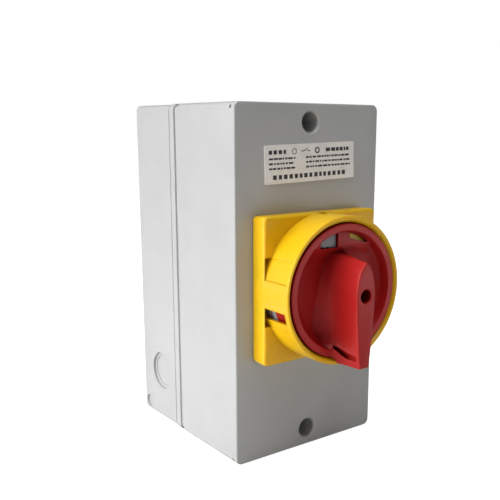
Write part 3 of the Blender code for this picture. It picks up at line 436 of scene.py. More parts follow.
def box(low, high, name="box"):
    bm = bmesh.new()
    bmesh.ops.create_cube(bm, size=1)
    bmesh.ops.scale(bm, vec=[b - a for a, b in zip(low, high)], verts=bm.verts)
    bmesh.ops.translate(bm, vec=[(a + b) / 2 for a, b in zip(low, high)], verts=bm.verts)
    return mesh_of(bm, name)


def moved(mesh, shift=(0, 0, 0), turn=None):
    """The mesh after a turn about the origin and then a shift."""
    if turn is not None:
        mesh.transform(turn)
    mesh.transform(Matrix.Translation(shift))
    return mesh


def merged(meshes, name="merged"):
    """One mesh that holds several, as separate shells."""
    bm = bmesh.new()
    for mesh in meshes:
        bm.from_mesh(mesh)
        bpy.data.meshes.remove(mesh)
    whole = bpy.data.meshes.new(name)
    bm.to_mesh(whole)
    bm.free()
    return whole


def carve(mesh, cutters, operation="DIFFERENCE"):
    """The mesh after a Boolean with cutters that don't touch each other."""
    scene = bpy.context.scene
    target = bpy.data.objects.new("target", mesh)
    cutter = bpy.data.objects.new("cutter", merged(list(cutters)))
    for obj in (target, cutter):
        scene.collection.objects.link(obj)
    step = target.modifiers.new("cut", "BOOLEAN")
    step.operation = operation
    step.object = cutter
    step.solver = "EXACT"
    bpy.context.view_layer.update()
    made = bpy.data.meshes.new_from_object(target.evaluated_get(bpy.context.evaluated_depsgraph_get()))
    made.name = mesh.name
    bpy.data.objects.remove(target)
    bpy.data.objects.remove(cutter)
    return made


def tidied(mesh, ease, segments=2):
    """Welds a mesh, dissolves the edges inside flat faces and rounds the sharp ones by ease."""
    bm = bmesh.new()
    bm.from_mesh(mesh)
    bmesh.ops.remove_doubles(bm, verts=bm.verts, dist=0.000002)
    bmesh.ops.dissolve_limit(bm, angle_limit=math.radians(0.5), verts=bm.verts, edges=bm.edges)
    sharp = [e for e in bm.edges if e.is_manifold and e.calc_face_angle() > math.radians(35)]
    bmesh.ops.bevel(
        bm, geom=sharp, offset=ease, segments=segments, affect="EDGES", profile=0.5, clamp_overlap=True
    )
    bm.to_mesh(mesh)
    bm.free()
    return mesh


def shaded(mesh, angle=32):
    mesh.shade_smooth()
    mesh.set_sharp_from_angle(angle=math.radians(angle))
    return mesh


def show(name, mesh, finish, node, angle=32, material=None):
    """Stands a mesh up as a piece on a CAD node's body.

    It takes the node's place, unless it has a material of its own and only lies on it.
    """
    shaded(mesh, angle)
    mesh.transform(STAND)
    mesh.materials.clear()
    mesh.materials.append(material or MATERIALS[finish])
    obj = bpy.data.objects.new(name, mesh)
    bpy.context.scene.collection.objects.link(obj)
    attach(obj, frame["nodes"][node]["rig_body"])
    if not material:
        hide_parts(node)


# ---------------------------------------------------------------- enclosure
def shell(name, profile, half_x, half_y):
    """A box shell. Its profile is (inset, out) pairs from the outer face round to the inner one."""
    return loft(name, rectangle_rings(half_x, half_y, CORNER, profile, least=0.0008))


def at_screws(make):
    """One shape at each of the two cover screws."""
    return [moved(make(), (0, side * SCREW_UP, 0)) for side in (-1, 1)]


def front_cover():
    """The cover: a shell with two screw wells, the shaft's hole and the plate's screw holes."""
    inner = FRONT - FRONT_WALL
    middle = 0.006
    profile = filleted([
        (middle, FRONT, 0),
        (0, FRONT, FRONT_EDGE),
        (0, SEAM, 0.0003),
        (WALL, SEAM, 0.0002),
        (WALL, LEDGE, 0),
        (LIP_INNER_INSET, LEDGE, 0),
        (LIP_INNER_INSET, LEDGE + 0.004, 0),
        (WALL, LEDGE + 0.004, 0),
        (WALL, inner, 0.0012),
        (middle, inner, 0),
    ])
    cover = shell("cover", profile, HALF_X, HALF_Y)
    pillar = [
        (0, LEDGE),
        (0.0060, LEDGE),
        (0.0062, inner - 0.0015),
        (0.0070, inner + 0.0005),
        (0, inner + 0.0005),
    ]
    cover = carve(cover, at_screws(lambda: turned("pillar", pillar, 64)), "UNION")
    well = [
        (0, FRONT + PAST),
        (WELL_MOUTH, FRONT + PAST),
        (WELL_MOUTH, FRONT),
        (WELL_MOUTH - 0.0003, FRONT - 0.0003),
        (WELL_RADIUS, FRONT - 0.0009),
        (WELL_RADIUS, WELL_FLOOR),
        (COVER_SCREW_HOLE, WELL_FLOOR),
        (COVER_SCREW_HOLE, LEDGE - PAST),
        (0, LEDGE - PAST),
    ]
    cutters = at_screws(lambda: turned("well", well, 64))
    cutters.append(rod("shaft_hole", SHAFT_HOLE, inner - PAST, FRONT + PAST))
    for x, y in plate_screw_places():
        cutters.append(moved(rod("hole", PLATE_SCREW_HOLE, inner - PAST, FRONT + PAST, 24), (x, y, 0)))
    cutters += corner_pits(FRONT - 0.0030)
    show("cover_shell", carve(cover, cutters), "enclosure_grey", "front_cover")


def corner_pits(out):
    """Tiny round moulding marks at the ends of both side walls."""
    pits = []
    profile = [(0, -PIT_DEPTH), (PIT_RADIUS - 0.0002, -PIT_DEPTH), (PIT_RADIUS, 0.0004), (0, 0.0004)]
    for side_x in (-1, 1):
        for side_y in (-1, 1):
            pit = turned("pit", profile, 16)
            tilt = Matrix.Rotation(side_x * QUARTER, 4, "Y")
            pits.append(moved(pit, (side_x * (HALF_X - 0.0002), side_y * (HALF_Y - 0.0021), out), tilt))
    return pits


def plate_screw_places():
    """Where the four plate screws stand, as (x, y)."""
    places = []
    for number in (1, 2, 3, 4):
        low, high = lying(f"padlock_plate_screw_{number}")
        places.append(((low.x + high.x) / 2, (low.y + high.y) / 2))
    return places


def knockout(radius, at, turn):
    """A round recess with a second shallow step, where a cable entry is to be opened."""
    floor_radius = radius - 0.0015
    profile = [
        (0, 2 * PAST),
        (radius, 2 * PAST),
        (radius, -ENTRY_STEP),
        (floor_radius, -ENTRY_STEP - 0.0001),
        (floor_radius, -ENTRY_DEPTH),
        (0, -ENTRY_DEPTH),
    ]
    return moved(turned("knockout", profile, 96), at, turn)


def rear_enclosure():
    """The base: a shell with a rim, a sealing lip, bosses, wall holes and knockouts."""
    middle = 0.006
    inner = LIP_INSET + RIM_STEP
    groove = RIM_STEP + RIM_GROOVE_DEPTH
    profile = filleted([
        (middle, 0, 0),
        (RIM_STEP, 0, REAR_EDGE),
        (RIM_STEP, RIM_REAR - RIM_GROOVE[0], 0),
        (groove, RIM_REAR - RIM_GROOVE[0] + 0.0002, 0),
        (groove, RIM_REAR - RIM_GROOVE[1], 0),
        (0, RIM_REAR, 0.0002),
        (0, RIM_FRONT, 0.0005),
        (SHOULDER_INSET, RIM_FRONT, 0.0002),
        (SHOULDER_INSET, SEAM - GAP, 0.0002),
        (LIP_INSET, SEAM - GAP, 0.0002),
        (LIP_INSET, LIP_TOP, 0.0003),
        (LIP_INNER_INSET, LIP_TOP, 0.0003),
        (LIP_INNER_INSET, 0.0295, 0.0006),
        (inner, 0.0285, 0.0006),
        (inner, REAR_WALL, 0.0010),
        (middle, REAR_WALL, 0),
    ])
    base = shell("base", profile, HALF_X, HALF_Y)
    earth_low, earth_high = lying("earth_bar")
    earth_up = (earth_low.y + earth_high.y) / 2
    bosses = at_screws(lambda: boss(0.0047, LIP_TOP - GAP))
    bosses += [moved(boss(0.0050, 0.0080), (0, side * MOUNT_UP, 0)) for side in (-1, 1)]
    bosses += [moved(boss(0.0037, 0.0117), (side * EARTH_SCREW_X, earth_up, 0)) for side in (-1, 1)]
    base = carve(base, bosses, "UNION")

    cutters = at_screws(lambda: rod("bore", 0.0023, 0.020, 0.046, 32))
    for side in (-1, 1):
        cutters.append(moved(rod("bore", 0.0019, 0.004, 0.010, 32), (0, side * MOUNT_UP, 0)))
    for side in (-1, 1):
        cutters.append(moved(rod("bore", 0.0018, 0.0045, 0.014, 32), (side * EARTH_SCREW_X, earth_up, 0)))
    cutters += wall_holes()
    for side in (-1, 1):
        turn = Matrix.Rotation(side * QUARTER, 4, "Y")
        at = (side * (HALF_X - RIM_STEP), SIDE_ENTRY_UP, SIDE_ENTRY_OUT)
        cutters.append(knockout(SIDE_ENTRY_RADIUS, at, turn))
        turn = Matrix.Rotation(-side * QUARTER, 4, "X")
        cutters.append(knockout(END_ENTRY_RADIUS, (0, side * (HALF_Y - RIM_STEP), END_ENTRY_OUT), turn))
        cutters.append(side_dimple(side))
    show("base_shell", carve(base, cutters), "enclosure_grey", "rear_enclosure")


def boss(radius, top):
    """A screw boss that stands on the rear wall, with a stepped foot."""
    rear = REAR_WALL - 0.0005
    profile = [
        (0, rear),
        (radius + 0.0010, rear),
        (radius + 0.0010, REAR_WALL),
        (radius + 0.0002, REAR_WALL + 0.001),
        (radius, top - 0.0003),
        (radius - 0.0003, top),
        (0, top),
    ]
    return turned("boss", profile, 64)


def wall_holes():
    """Countersunk holes in the rear wall, for the screws that hold the box to a wall."""
    mouth, radius = 0.0027, 0.00225
    profile = [(0, -PAST), (mouth, -PAST), (mouth, 0), (radius, 0.0005), (radius, 0.005), (0, 0.005)]
    holes = []
    for x in (-WALL_HOLE_X, WALL_HOLE_X):
        for y in (-WALL_HOLE_Y, WALL_HOLE_Y):
            holes.append(moved(turned("wall_hole", profile, 40), (x, y, 0)))
    return holes


def side_dimple(side):
    """A shallow round moulding mark at the low rear corner of a side wall."""
    floor_radius = DIMPLE_RADIUS - 0.0002
    profile = [(0, PAST), (DIMPLE_RADIUS, PAST), (floor_radius, -PIT_DEPTH), (0, -PIT_DEPTH)]
    dimple = turned("dimple", profile, 48)
    turn = Matrix.Rotation(side * QUARTER, 4, "Y")
    return moved(dimple, (side * (HALF_X - RIM_STEP), DIMPLE_UP, DIMPLE_OUT), turn)


def cover_gasket():
    """A crowned cord that lies on the base's lip."""
    low, high = lying("cover_gasket")
    outer = LIP_INSET + 0.0001
    inner = LIP_INNER_INSET - 0.0001
    middle = (outer + inner) / 2
    crown = [
        (outer, low.z),
        (outer, high.z - 0.0005),
        (middle - 0.0003, high.z),
        (middle + 0.0003, high.z),
        (inner, high.z - 0.0005),
        (inner, low.z),
    ]
    rings = rectangle_rings(HALF_X, HALF_Y, 0, crown, least=0.0012)
    show("gasket_cord", loft("gasket", rings, endless=True), "seal_black", "cover_gasket")


# ---------------------------------------------------------------- label
def rating_label():
    """A foil label with generic printed marks: dashes, rings and a contact sign, no letters."""
    centre = (LABEL_LOW + LABEL_HIGH) / 2
    place = Matrix.Translation((centre.x, centre.y, 0)) @ Matrix.Rotation(LABEL_TILT, 4, "Z")
    rear = FRONT + GAP
    levels = ((0, FRONT + 0.00002), (0, rear + 0.0002), (0.0001, rear + 0.00028))
    foil = loft("foil", rectangle_rings(LABEL_HALF_X, LABEL_HALF_Y, 0.0006, levels, 4))
    foil.transform(place)
    show("label_foil", foil, "label_silver", "rating_label")
    ink = merged(label_marks(rear + 0.0002, rear + 0.00033))
    ink.transform(place)
    show("label_marks", ink, "label_silver", "rating_label", material=LABEL_INK)


def label_marks(low, high):
    """Printed marks round the label's middle, between two levels."""
    draw = random.Random(5)
    marks = []

    def dashes(x0, x1, y, height, shortest, longest, gap):
        x = x0
        while x < x1 - shortest:
            width = min(draw.uniform(shortest, longest), x1 - x)
            marks.append(box((x, y - height / 2, low), (x + width, y + height / 2, high)))
            x += width + gap * draw.uniform(0.8, 1.6)

    left, right = -LABEL_HALF_X + 0.0022, LABEL_HALF_X - 0.0022
    title_up = 0.0052
    dashes(left, -0.0140, title_up, 0.0017, 0.0012, 0.0020, 0.0006)
    dashes(0.0085, right, title_up, 0.0016, 0.0010, 0.0026, 0.0005)
    for y in (0.0024, 0.0003, -0.0018):
        dashes(left, -0.0090, y, 0.0008, 0.0008, 0.0026, 0.0004)
        dashes(-0.0030, right, y, 0.0008, 0.0007, 0.0024, 0.0004)
    dashes(left + 0.002, right - 0.002, -0.0055, 0.0019, 0.0014, 0.0021, 0.0008)
    for x, outer, inner in ((-0.0095, 0.0013, 0.0010), (0.0035, 0.0014, 0.0008)):
        profile = [(outer, low), (outer, high), (inner, high), (inner, low)]
        marks.append(moved(turned("ring", profile, 32), (x, title_up, 0)))
    half_line = 0.0002
    blade_x = -0.0042
    for x0, x1 in ((-0.0058, blade_x), (-0.0022, -0.0006)):
        marks.append(box((x0, title_up - half_line, low), (x1, title_up + half_line, high)))
    blade = box((0, -half_line, low), (0.0024, half_line, high))
    marks.append(moved(blade, (blade_x, title_up, 0), Matrix.Rotation(math.radians(28), 4, "Z")))
    return marks


# ---------------------------------------------------------------- padlock plate
def drum_round(name, profile):
    """A turned solid stretched like the drum."""
    return moved(turned(name, profile, 192), turn=Matrix.Diagonal((1, DRUM_STRETCH, 1, 1)))


def band_cutter(low, high, rear):
    """Recesses the drum between two corners, outside the panel radius, down to rear."""
    front = FRONT + BAND_FRONT
    core = [
        (0, rear - PAST),
        (PANEL_RADIUS, rear - PAST),
        (PANEL_RADIUS, front + PAST),
        (0, front + PAST),
    ]
    return carve(box((*low, rear), (*high, front)), [drum_round("core", core)])


def stop_lug():
    """Where the handle stops: a block on the drum's floor."""
    return prism("lug", dish_window(1, *STOP_LUG), FRONT + 0.0025, FRONT + STOP_LUG_TOP, 0.0004)


def padlock_plate():
    """Square plate with a drum round the handle, cut by bands and padlock windows."""
    low = PLATE_LOW.z
    plate_front = FRONT + PLATE_THICK
    drum_front = FRONT + DRUM_HEIGHT
    edge = filleted([
        (0.0095, low, 0),
        (0.0003, low, 0.0002),
        (0, plate_front, 0.0013),
        (0.0095, plate_front, 0),
    ])
    slab = loft("slab", rectangle_rings(PLATE_HALF_X, PLATE_HALF_Y, PLATE_CORNER, edge, least=0.0006))
    drum = filleted([
        (0, drum_front, 0),
        (DRUM_RADIUS, drum_front, 0.0007),
        (DRUM_RADIUS, low + 0.002, 0),
        (0, low + 0.002, 0),
    ])
    plate = carve(slab, [drum_round("drum", drum)], "UNION")
    reach = PLATE_HALF_X - 0.0005
    bands = []
    for band_low, band_high in (UPPER_BAND, LOWER_BAND):
        bands.append(band_cutter((-reach, band_low), (0, band_high), FRONT + 0.0025))
    plate = carve(plate, bands)
    crown_low, crown_high = (TOP_SLIT[1], 0), (UPPER_BAND[1], PLATE_HALF_Y + 0.002)
    plate = carve(plate, [band_cutter(crown_low, crown_high, plate_front)])
    bore = filleted([
        (0, FRONT + 0.003, 0),
        (DRUM_BORE, FRONT + 0.003, 0.0006),
        (DRUM_BORE, drum_front - 0.0016, 0),
        (DRUM_BORE + 0.0012, drum_front + 0.0001, 0),
        (DRUM_BORE + 0.0012, drum_front + PAST, 0),
        (0, drum_front + PAST, 0),
    ])
    plate = carve(plate, [turned("bore", bore, 192)])
    plate = carve(plate, [stop_lug()], "UNION")
    cutters = [rod("hole", 0.012, low - PAST, FRONT + 0.004)]
    front = FRONT + WINDOW_FRONT
    inside, outside = 0.026, 0.0345
    near, far = WINDOW_UP
    cutters.append(box((-reach, -far, FRONT + WINDOW_REAR), (-inside, -near, front)))
    cutters.append(box((inside, near, plate_front), (outside, far, front)))
    slit_low, slit_high = [FRONT + out for out in TOP_SLIT_OUT]
    cutters.append(box((TOP_SLIT[0], inside, slit_low), (TOP_SLIT[1], outside, slit_high)))
    plate = carve(plate, cutters)
    show("padlock_collar", plate, "lock_yellow", "padlock_plate", angle=28)


def lock_ring():
    """Grey ring between the handle and the drum."""
    floor = RING_LOW.z
    top = FRONT + SKIRT_REAR - GAP
    profile = filleted([
        (0.0262, top, 0.0003),
        (RING_RADIUS, top, 0.0003),
        (RING_RADIUS, FRONT + RING_WAIST_TOP, 0.0002),
        (RING_WAIST_RADIUS, FRONT + RING_WAIST_TOP, 0),
        (RING_WAIST_RADIUS, floor, 0),
        (0.0130, floor, 0),
        (0.0130, floor + 0.003, 0.0003),
        (0.0262, floor + 0.003, 0.0008),
    ], closed=True)
    ring = turned("lock_ring", profile, 128)
    lug_hole = dish_window(1, *STOP_LUG, inset=-0.0004)
    ring = carve(ring, [prism("lug_hole", lug_hole, floor - PAST, floor + 0.004)])
    show("lock_ring_body", ring, "lock_grey", "lock_ring")


# ---------------------------------------------------------------- handle
def front_half_width(y):
    """Half the width of the grip's front face: a pointed arch above, a slow taper below."""
    widest, nose_half = 0.0052, 0.0026
    if y > 0:
        return widest * max(1 - (y / GRIP_TOP) ** 2, 0) ** 0.62
    return widest + (nose_half - widest) * (y / NOSE_END) ** 1.6


def foot_half_width(y):
    """Half the width of the grip where its flank has run out."""
    widest, widest_at = 0.0128, -0.013
    neck, neck_at = 0.0085, -0.028
    rim, rim_at = 0.0056, -0.0302
    if y > widest_at:
        return widest - 0.0081 * min((y - widest_at) / (GRIP_FOOT_TOP - widest_at), 1) ** 1.5
    if y > neck_at:
        return widest - (widest - neck) * ((y - widest_at) / (neck_at - widest_at)) ** 2
    if y > rim_at:
        return neck - (neck - rim) * (neck_at - y) / (neck_at - rim_at)
    return rim - 0.0009 * (rim_at - y) / 0.0019


def foot_level(y):
    """How far out the flank runs out: at the dish floor, and at the rim near the nose."""
    rise = min(max((-0.0215 - y) / 0.005, 0), 1)
    return DISH_FLOOR + (HANDLE_RIM - DISH_FLOOR) * rise * rise * (3 - 2 * rise)


def grip_half_width(y, out):
    """The flanks fall almost straight from the front face and flare at their foot."""
    down = min((GRIP_FRONT - out) / (GRIP_FRONT - foot_level(y)), 1)
    flare = 0.1 * down + 0.9 * down**4.5
    lean = (GRIP_TOP - 0.0005) / GRIP_FOOT_TOP
    front = front_half_width(min(y * (1 - down) + y * lean * down, GRIP_TOP))
    return front + (foot_half_width(y) - front) * flare


def grip_ring(out, inset=0.0, samples=26):
    """One level of the grip, as far out of the wall as out is from the cover's front face."""
    down = (GRIP_FRONT - out) / (GRIP_FRONT - DISH_FLOOR)
    top = GRIP_TOP + (GRIP_FOOT_TOP - GRIP_TOP) * down - inset
    over_rim = out > HANDLE_RIM + 0.0001
    bottom = (NOSE_END if over_rim else GRIP_FOOT_BOTTOM) + inset
    left = []
    for step in range(samples + 1):
        along = (1 - math.cos(math.pi * step / samples)) / 2
        y = top + (bottom - top) * along
        half = grip_half_width(y, out) - inset
        if not over_rim:
            half = min(half, math.sqrt((HANDLE_RADIUS - 0.0005) ** 2 - y * y))
        left.append((-max(half, 0.0002), y))
    right = [(-x, y) for x, y in reversed(left)]
    return [(x, y, FRONT + out) for x, y in left + right]


def grip():
    """Closed loft of the grip, from under the dish floor to its front face."""
    rings = [[(x, y, FRONT + DISH_FLOOR - 0.001) for x, y, _ in grip_ring(DISH_FLOOR)]]
    below = [DISH_FLOOR + (HANDLE_RIM - DISH_FLOOR) * (step / 12) ** 1.6 for step in range(13)]
    rings += [grip_ring(out) for out in below]
    edge = 0.0005
    above_low = DRUM_HEIGHT + GAP
    above = [above_low + (GRIP_FRONT - edge - above_low) * step / 12 for step in range(13)]
    rings += [grip_ring(out) for out in above]
    for angle in (30, 60, 90):
        turn = math.radians(angle)
        rings.append(grip_ring(GRIP_FRONT - edge * (1 - math.sin(turn)), edge * (1 - math.cos(turn))))
    return loft("grip", rings)


def dish_shelf():
    """The raised top of the dish, in which the two windows are cut."""
    rings = []
    for chord, arc, out in (
        (0.0110, 0.0245, DISH_FLOOR - 0.0014),
        (0.0125, 0.0258, DISH_FLOOR),
        (0.0150, SHELF_ARC, DISH_FLOOR + 0.0009),
        (0.0175, SHELF_ARC, DISH_FLOOR + 0.0026),
        (0.0190, SHELF_ARC, DISH_SHELF - 0.0003),
        (0.0196, SHELF_ARC, DISH_SHELF),
    ):
        reach = math.acos(chord / arc)
        angles = [reach * (step / 12 - 1) for step in range(25)]
        rings.append([(arc * math.sin(a), arc * math.cos(a), FRONT + out) for a in angles])
    return loft("shelf", rings)


def dish_window(side, near, far, low, arc=WINDOW_ARC, inset=0.0):
    """The outline of a window under the dish's arc, to the left or right of the middle rib.

    near and far are its distances from the middle, and low holds its lower edge's height at each.
    """
    near, far, arc = near + inset, far - inset, arc - inset
    start, end = math.asin(near / arc), math.asin(far / arc)
    curve = [start + (end - start) * step / 8 for step in range(9)]
    crown = [(side * arc * math.sin(a), arc * math.cos(a)) for a in curve]
    return [(side * near, low[0] + inset)] + crown + [(side * far, low[1] + inset)]


def lock_slide():
    """Grey slide in the handle's left window. It is pressed in to let a padlock through."""
    outline = dish_window(-1, *LEFT_WINDOW, inset=0.0001)
    slide = prism("slide", outline, FRONT + 0.0153, FRONT + 0.0206)
    foot = prism("foot", dish_window(-1, *SLIDE_FOOT), FRONT + 0.0150, FRONT + 0.01585)
    slide = carve(slide, [foot], "UNION")
    notches = []
    for x0, x1 in ((-0.0112, -0.0092), (-0.0078, -0.0067)):
        notches.append(box((x0, 0.0188, FRONT + 0.0190), (x1, 0.0197, FRONT + 0.0210)))
    slide = carve(tidied(slide, 0.0002), notches)
    show("lock_slide_body", slide, "lock_grey", "lock_slide", angle=30)


def lock_flag():
    """Yellow flag that shows through the handle's right window."""
    flag = prism("flag", dish_window(1, *LOCK_FLAG), FRONT + 0.0188, FRONT + 0.0199, 0.0003)
    show("lock_flag_body", flag, "lock_yellow", "lock_flag", angle=30)


def rotary_handle():
    """Red handle: a dished disc with a skirt, a grip across it and two windows above."""
    rim = FRONT + HANDLE_RIM
    floor = FRONT + DISH_FLOOR
    under = floor - 0.002
    skirt = FRONT + SKIRT_REAR
    hub = FRONT + 0.0042
    profile = filleted([
        (0, floor, 0),
        (0.0222, floor, 0.0035),
        (0.0252, floor + 0.0030, 0.0020),
        (DISH_RADIUS, rim, 0.0005),
        (HANDLE_RADIUS, rim, 0.0005),
        (HANDLE_RADIUS, skirt, 0.0002),
        (SKIRT_INNER, skirt, 0),
        (SKIRT_INNER, rim - 0.0030, 0),
        (0.0272, rim - 0.0030, 0),
        (0.0262, under + 0.0018, 0),
        (0.0240, under, 0),
        (0.0095, under, 0),
        (0.0095, hub, 0),
        (0, hub, 0),
    ])
    handle = carve(turned("handle", profile, 192), [grip()], "UNION")
    handle = carve(handle, [dish_shelf()], "UNION")
    hollow = dish_window(1, *LOCK_FLAG, inset=-0.0002)
    handle = carve(handle, [prism("hollow", hollow, under - PAST, FRONT + 0.0202)])
    cutters = []
    for side, window in ((-1, LEFT_WINDOW), (1, RIGHT_WINDOW)):
        outline = dish_window(side, *window)
        cutters.append(prism("window", outline, under - 0.0015, FRONT + DISH_SHELF + 0.002))
        cutters.append(nose_slot(side))
    mouth, radius, shank = 0.0034, 0.0029, 0.0019
    bore = [
        (0, FRONT + 0.045),
        (mouth, FRONT + 0.045),
        (mouth, FRONT + GRIP_FRONT + 0.0001),
        (radius, FRONT + GRIP_FRONT - 0.0004),
        (radius, FRONT + SCREW_SEAT),
        (shank, FRONT + SCREW_SEAT),
        (shank, FRONT + 0.010),
        (0, FRONT + 0.010),
    ]
    cutters.append(turned("bore", bore, 48))
    cutters.append(box((-0.0048, -0.0048, FRONT + 0.003), (0.0048, 0.0048, FRONT + 0.0099)))
    handle = carve(handle, cutters)
    show("handle_body", handle, "handle_red", "rotary_handle", angle=30)


def nose_slot(side):
    """A slanting slot with round ends, cut in the nose beside its flank."""
    half_x, half_y, radius = 0.00085, 0.0029, 0.00083
    corners = [(-half_x, -half_y), (half_x, -half_y), (half_x, half_y), (-half_x, half_y)]
    outline = filleted([(x, y, radius) for x, y in corners], closed=True, steps=5)
    slot = prism("slot", outline, FRONT + 0.0215, FRONT + 0.036)
    turn = Matrix.Rotation(-side * NOSE_SLOT_TURN, 4, "Z")
    return moved(slot, (side * NOSE_SLOT[0], NOSE_SLOT[1], 0), turn)


# ---------------------------------------------------------------- fasteners
def screw(node, head_height, cross=False, from_behind=False, finish="zinc_steel", ratio=0.52):
    """A machine screw with a ridged shank and a slotted or crossed pan head."""
    low, high = lying(node)
    radius = (high.x - low.x) / 2
    length = high.z - low.z
    shank = radius * ratio
    seat = length - head_height
    pitch = 0.0006
    profile = [(0, 0), (shank * 0.7, 0), (shank, pitch)]
    ridge = pitch
    while ridge < seat - 1.5 * pitch:
        profile += [(shank * 0.86, ridge + pitch / 2), (shank, ridge + pitch)]
        ridge += pitch
    crown = head_height * 0.35
    profile += [(shank, seat), (radius * 0.96, seat), (radius, seat + head_height * 0.12)]
    profile += [(radius, length - crown), (radius * 0.93, length - crown * 0.45)]
    profile += [(radius * 0.72, length - crown * 0.1), (radius * 0.45, length), (0, length)]
    body = turned(node, profile, 40)
    slot_half = radius * 0.13
    depth = head_height * 0.5
    reach = radius * (0.62 if cross else 1.2)
    slot = box((-reach, -slot_half, length - depth), (reach, slot_half, length + 0.001))
    body = carve(body, [slot])
    if cross:
        other = box((-slot_half, -reach, length - depth), (slot_half, reach, length + 0.001))
        body = carve(body, [other])
    centre = (low + high) / 2
    if from_behind:
        turn = Matrix.Rotation(math.pi, 4, "X")
        body = moved(body, (centre.x, centre.y, high.z), turn)
    else:
        body = moved(body, (centre.x, centre.y, low.z), Matrix.Rotation(math.radians(37), 4, "Z"))
    show(node + "_turned", body, finish, node, angle=30)


def fasteners():
    """Every screw and bolt."""
    sides = ("left", "right")
    ends = ("top", "bottom")
    for end in ends:
        screw(f"cover_screw_{end}", 0.003, cross=True)
        screw(f"switch_mount_screw_{end}", 0.0022, cross=True)
    for number in (1, 2, 3, 4):
        screw(f"padlock_plate_screw_{number}", 0.002, cross=True, from_behind=True)
    for side in sides:
        screw(f"tie_bolt_{side}", 0.0024)
        screw(f"earth_screw_{side}", 0.0026, finish="brass")
        for deck in ("rear", "front"):
            for end in ends:
                screw(f"terminal_screw_{deck}_{end}_{side}", 0.0032)
    screw("handle_screw", 0.0024, cross=True, ratio=0.6)


# ---------------------------------------------------------------- switch mechanism
def refined(node, finish, ease, segments=2):
    """The CAD node's own shape with its flat faces joined and its edges eased."""
    mesh = frame["nodes"][node].data.copy()
    mesh = tidied(mesh, ease, segments)
    mesh.transform(STAND.inverted())
    show(node + "_eased", mesh, finish, node, angle=38)


def mechanism():
    """The switch block, the drive and the other inner parts."""
    refined("switch_mounting_plate", "zinc_steel", 0.0003)
    refined("detent_cap", "zinc_steel", 0.0003)
    refined("detent_housing", "deck_black", 0.0003)
    refined("switch_shaft", "zinc_steel", 0.0002)
    refined("drive_bush", "deck_black", 0.0003)
    refined("earth_bar", "brass", 0.0002)
    refined("detent_star", "rotor_cream", 0.0003)
    refined("plate_gasket", "seal_black", 0.0001, 1)
    for side in ("left", "right"):
        refined(f"detent_plunger_{side}", "zinc_steel", 0.0003)
    for deck in ("rear", "front"):
        refined(f"contact_deck_{deck}", "deck_black", 0.0003)
        refined(f"rotor_{deck}", "rotor_cream", 0.0003)
        for side in ("left", "right"):
            refined(f"moving_blade_{deck}_{side}", "copper", 0.0002)
            for end in ("top", "bottom"):
                refined(f"fixed_contact_{deck}_{end}_{side}", "brass", 0.0002)


def carried_over():
    """The CAD nodes that stay as they are get the same finishes."""
    for node, finish in (
        ("shaft_seal", "seal_black"),
        ("detent_spring_left", "zinc_steel"),
        ("detent_spring_right", "zinc_steel"),
    ):
        for slot in frame["nodes"][node].material_slots:
            slot.material = MATERIALS[finish]


# ---------------------------------------------------------------- studio
def floor():
    """A wide pale floor that the switch stands on."""
    level = CAD_BOX[0].z - 0.0002
    reach = 6.0
    bm = bmesh.new()
    bmesh.ops.create_grid(bm, x_segments=1, y_segments=1, size=reach)
    ground = bpy.data.objects.new("studio_floor", mesh_of(bm, "studio_floor"))
    ground.location = (0, 0, level)
    material, tree, surface, _ = new_material("studio_floor_white")
    seen = add(tree, "LightPath").outputs["Is Camera Ray"]
    tint = mixed(tree, seen, (0.65, 0.65, 0.65, 1), (0.45, 0.45, 0.45, 1))
    tree.links.new(tint, surface.inputs["Base Color"])
    surface.inputs["Roughness"].default_value = 1.0
    surface.inputs["Specular IOR Level"].default_value = 0.0
    surface.inputs["Emission Color"].default_value = (1, 1, 1, 1)
    glow = add(tree, "Math", {0: seen, 1: 0.94}, operation="MULTIPLY").outputs[0]
    tree.links.new(glow, surface.inputs["Emission Strength"])
    ground.data.materials.append(material)
    bpy.context.scene.collection.objects.link(ground)


def area_light(name, at, target, size, power):
    data = bpy.data.lights.new(name, "AREA")
    data.shape = "RECTANGLE"
    data.size, data.size_y = size
    data.energy = power
    lamp = bpy.data.objects.new(name, data)
    lamp.location = at
    lamp.visible_camera = False
    lamp.rotation_euler = (Vector(target) - Vector(at)).to_track_quat("-Z", "Y").to_euler()
    bpy.context.scene.collection.objects.link(lamp)


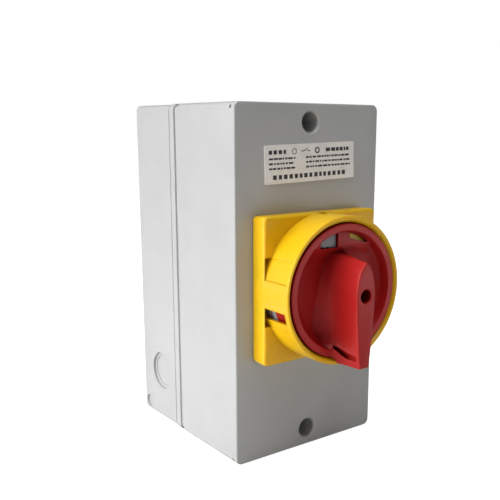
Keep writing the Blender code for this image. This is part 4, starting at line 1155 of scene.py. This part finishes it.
def studio_light():
    """A big light on the left, two low fills, a weak one above and a pale surround."""
    area_light("key_left", (-1.25, 0.20, 0.20), (0, -0.04, 0), (1.1, 1.4), 26.8)
    area_light("low_left_glow", (-0.15, -0.04, -0.070), (-0.04, -0.04, -0.070), (0.10, 0.03), 0.045)
    area_light("low_right_fill", (0.22, -0.38, -0.045), (0.01, -0.09, -0.04), (0.30, 0.12), 0.18)
    area_light("top_fill", (-0.2, -0.2, 1.2), (0, -0.04, 0), (1.0, 1.0), 9)
    world = bpy.data.worlds.new("studio_world")
    world.use_nodes = True
    tree = world.node_tree
    background = tree.nodes["Background"]
    direction = add(tree, "TexCoord").outputs["Generated"]
    across = add(tree, "SeparateXYZ", {0: direction}).outputs[0]
    dim_right, bright_left = (0.118, 0.117, 0.113, 1), (0.262, 0.262, 0.267, 1)
    surround = mixed(tree, ranged(tree, across, 0.5, -0.9), dim_right, bright_left)
    seen = add(tree, "LightPath").outputs["Is Camera Ray"]
    tree.links.new(mixed(tree, seen, surround, (1, 1, 1, 1)), background.inputs["Color"])
    bpy.context.scene.world = world


def camera():
    """The view from which the switch is usually shown: from its left front, a little above."""
    eye = (-0.2098, -0.3403, 0.0697)
    yaw, pitch, roll = 0.656, -0.206, 0.005
    level = math.cos(pitch)
    forward = Vector((math.sin(yaw) * level, math.cos(yaw) * level, math.sin(pitch)))
    right = Vector((math.cos(yaw), -math.sin(yaw), 0))
    up = right.cross(forward)
    rolled_right = right * math.cos(roll) + up * math.sin(roll)
    rolled_up = up * math.cos(roll) - right * math.sin(roll)
    data = bpy.data.cameras.new("studio_camera")
    data.sensor_width = 36
    data.lens = 52.36
    data.shift_x = -0.0644
    data.shift_y = 0.0578
    data.clip_start = 0.01
    data.clip_end = 20
    view = bpy.data.objects.new("studio_camera", data)
    turn = Matrix((rolled_right, rolled_up, -forward)).transposed().to_4x4()
    view.matrix_world = Matrix.Translation(eye) @ turn
    bpy.context.scene.collection.objects.link(view)
    bpy.context.scene.camera = view
    bpy.context.scene.view_settings.view_transform = "Standard"


# ---------------------------------------------------------------- assembly
front_cover()
rear_enclosure()
cover_gasket()
rating_label()
padlock_plate()
lock_ring()
rotary_handle()
lock_slide()
lock_flag()
fasteners()
mechanism()
carried_over()
floor()
studio_light()
camera()
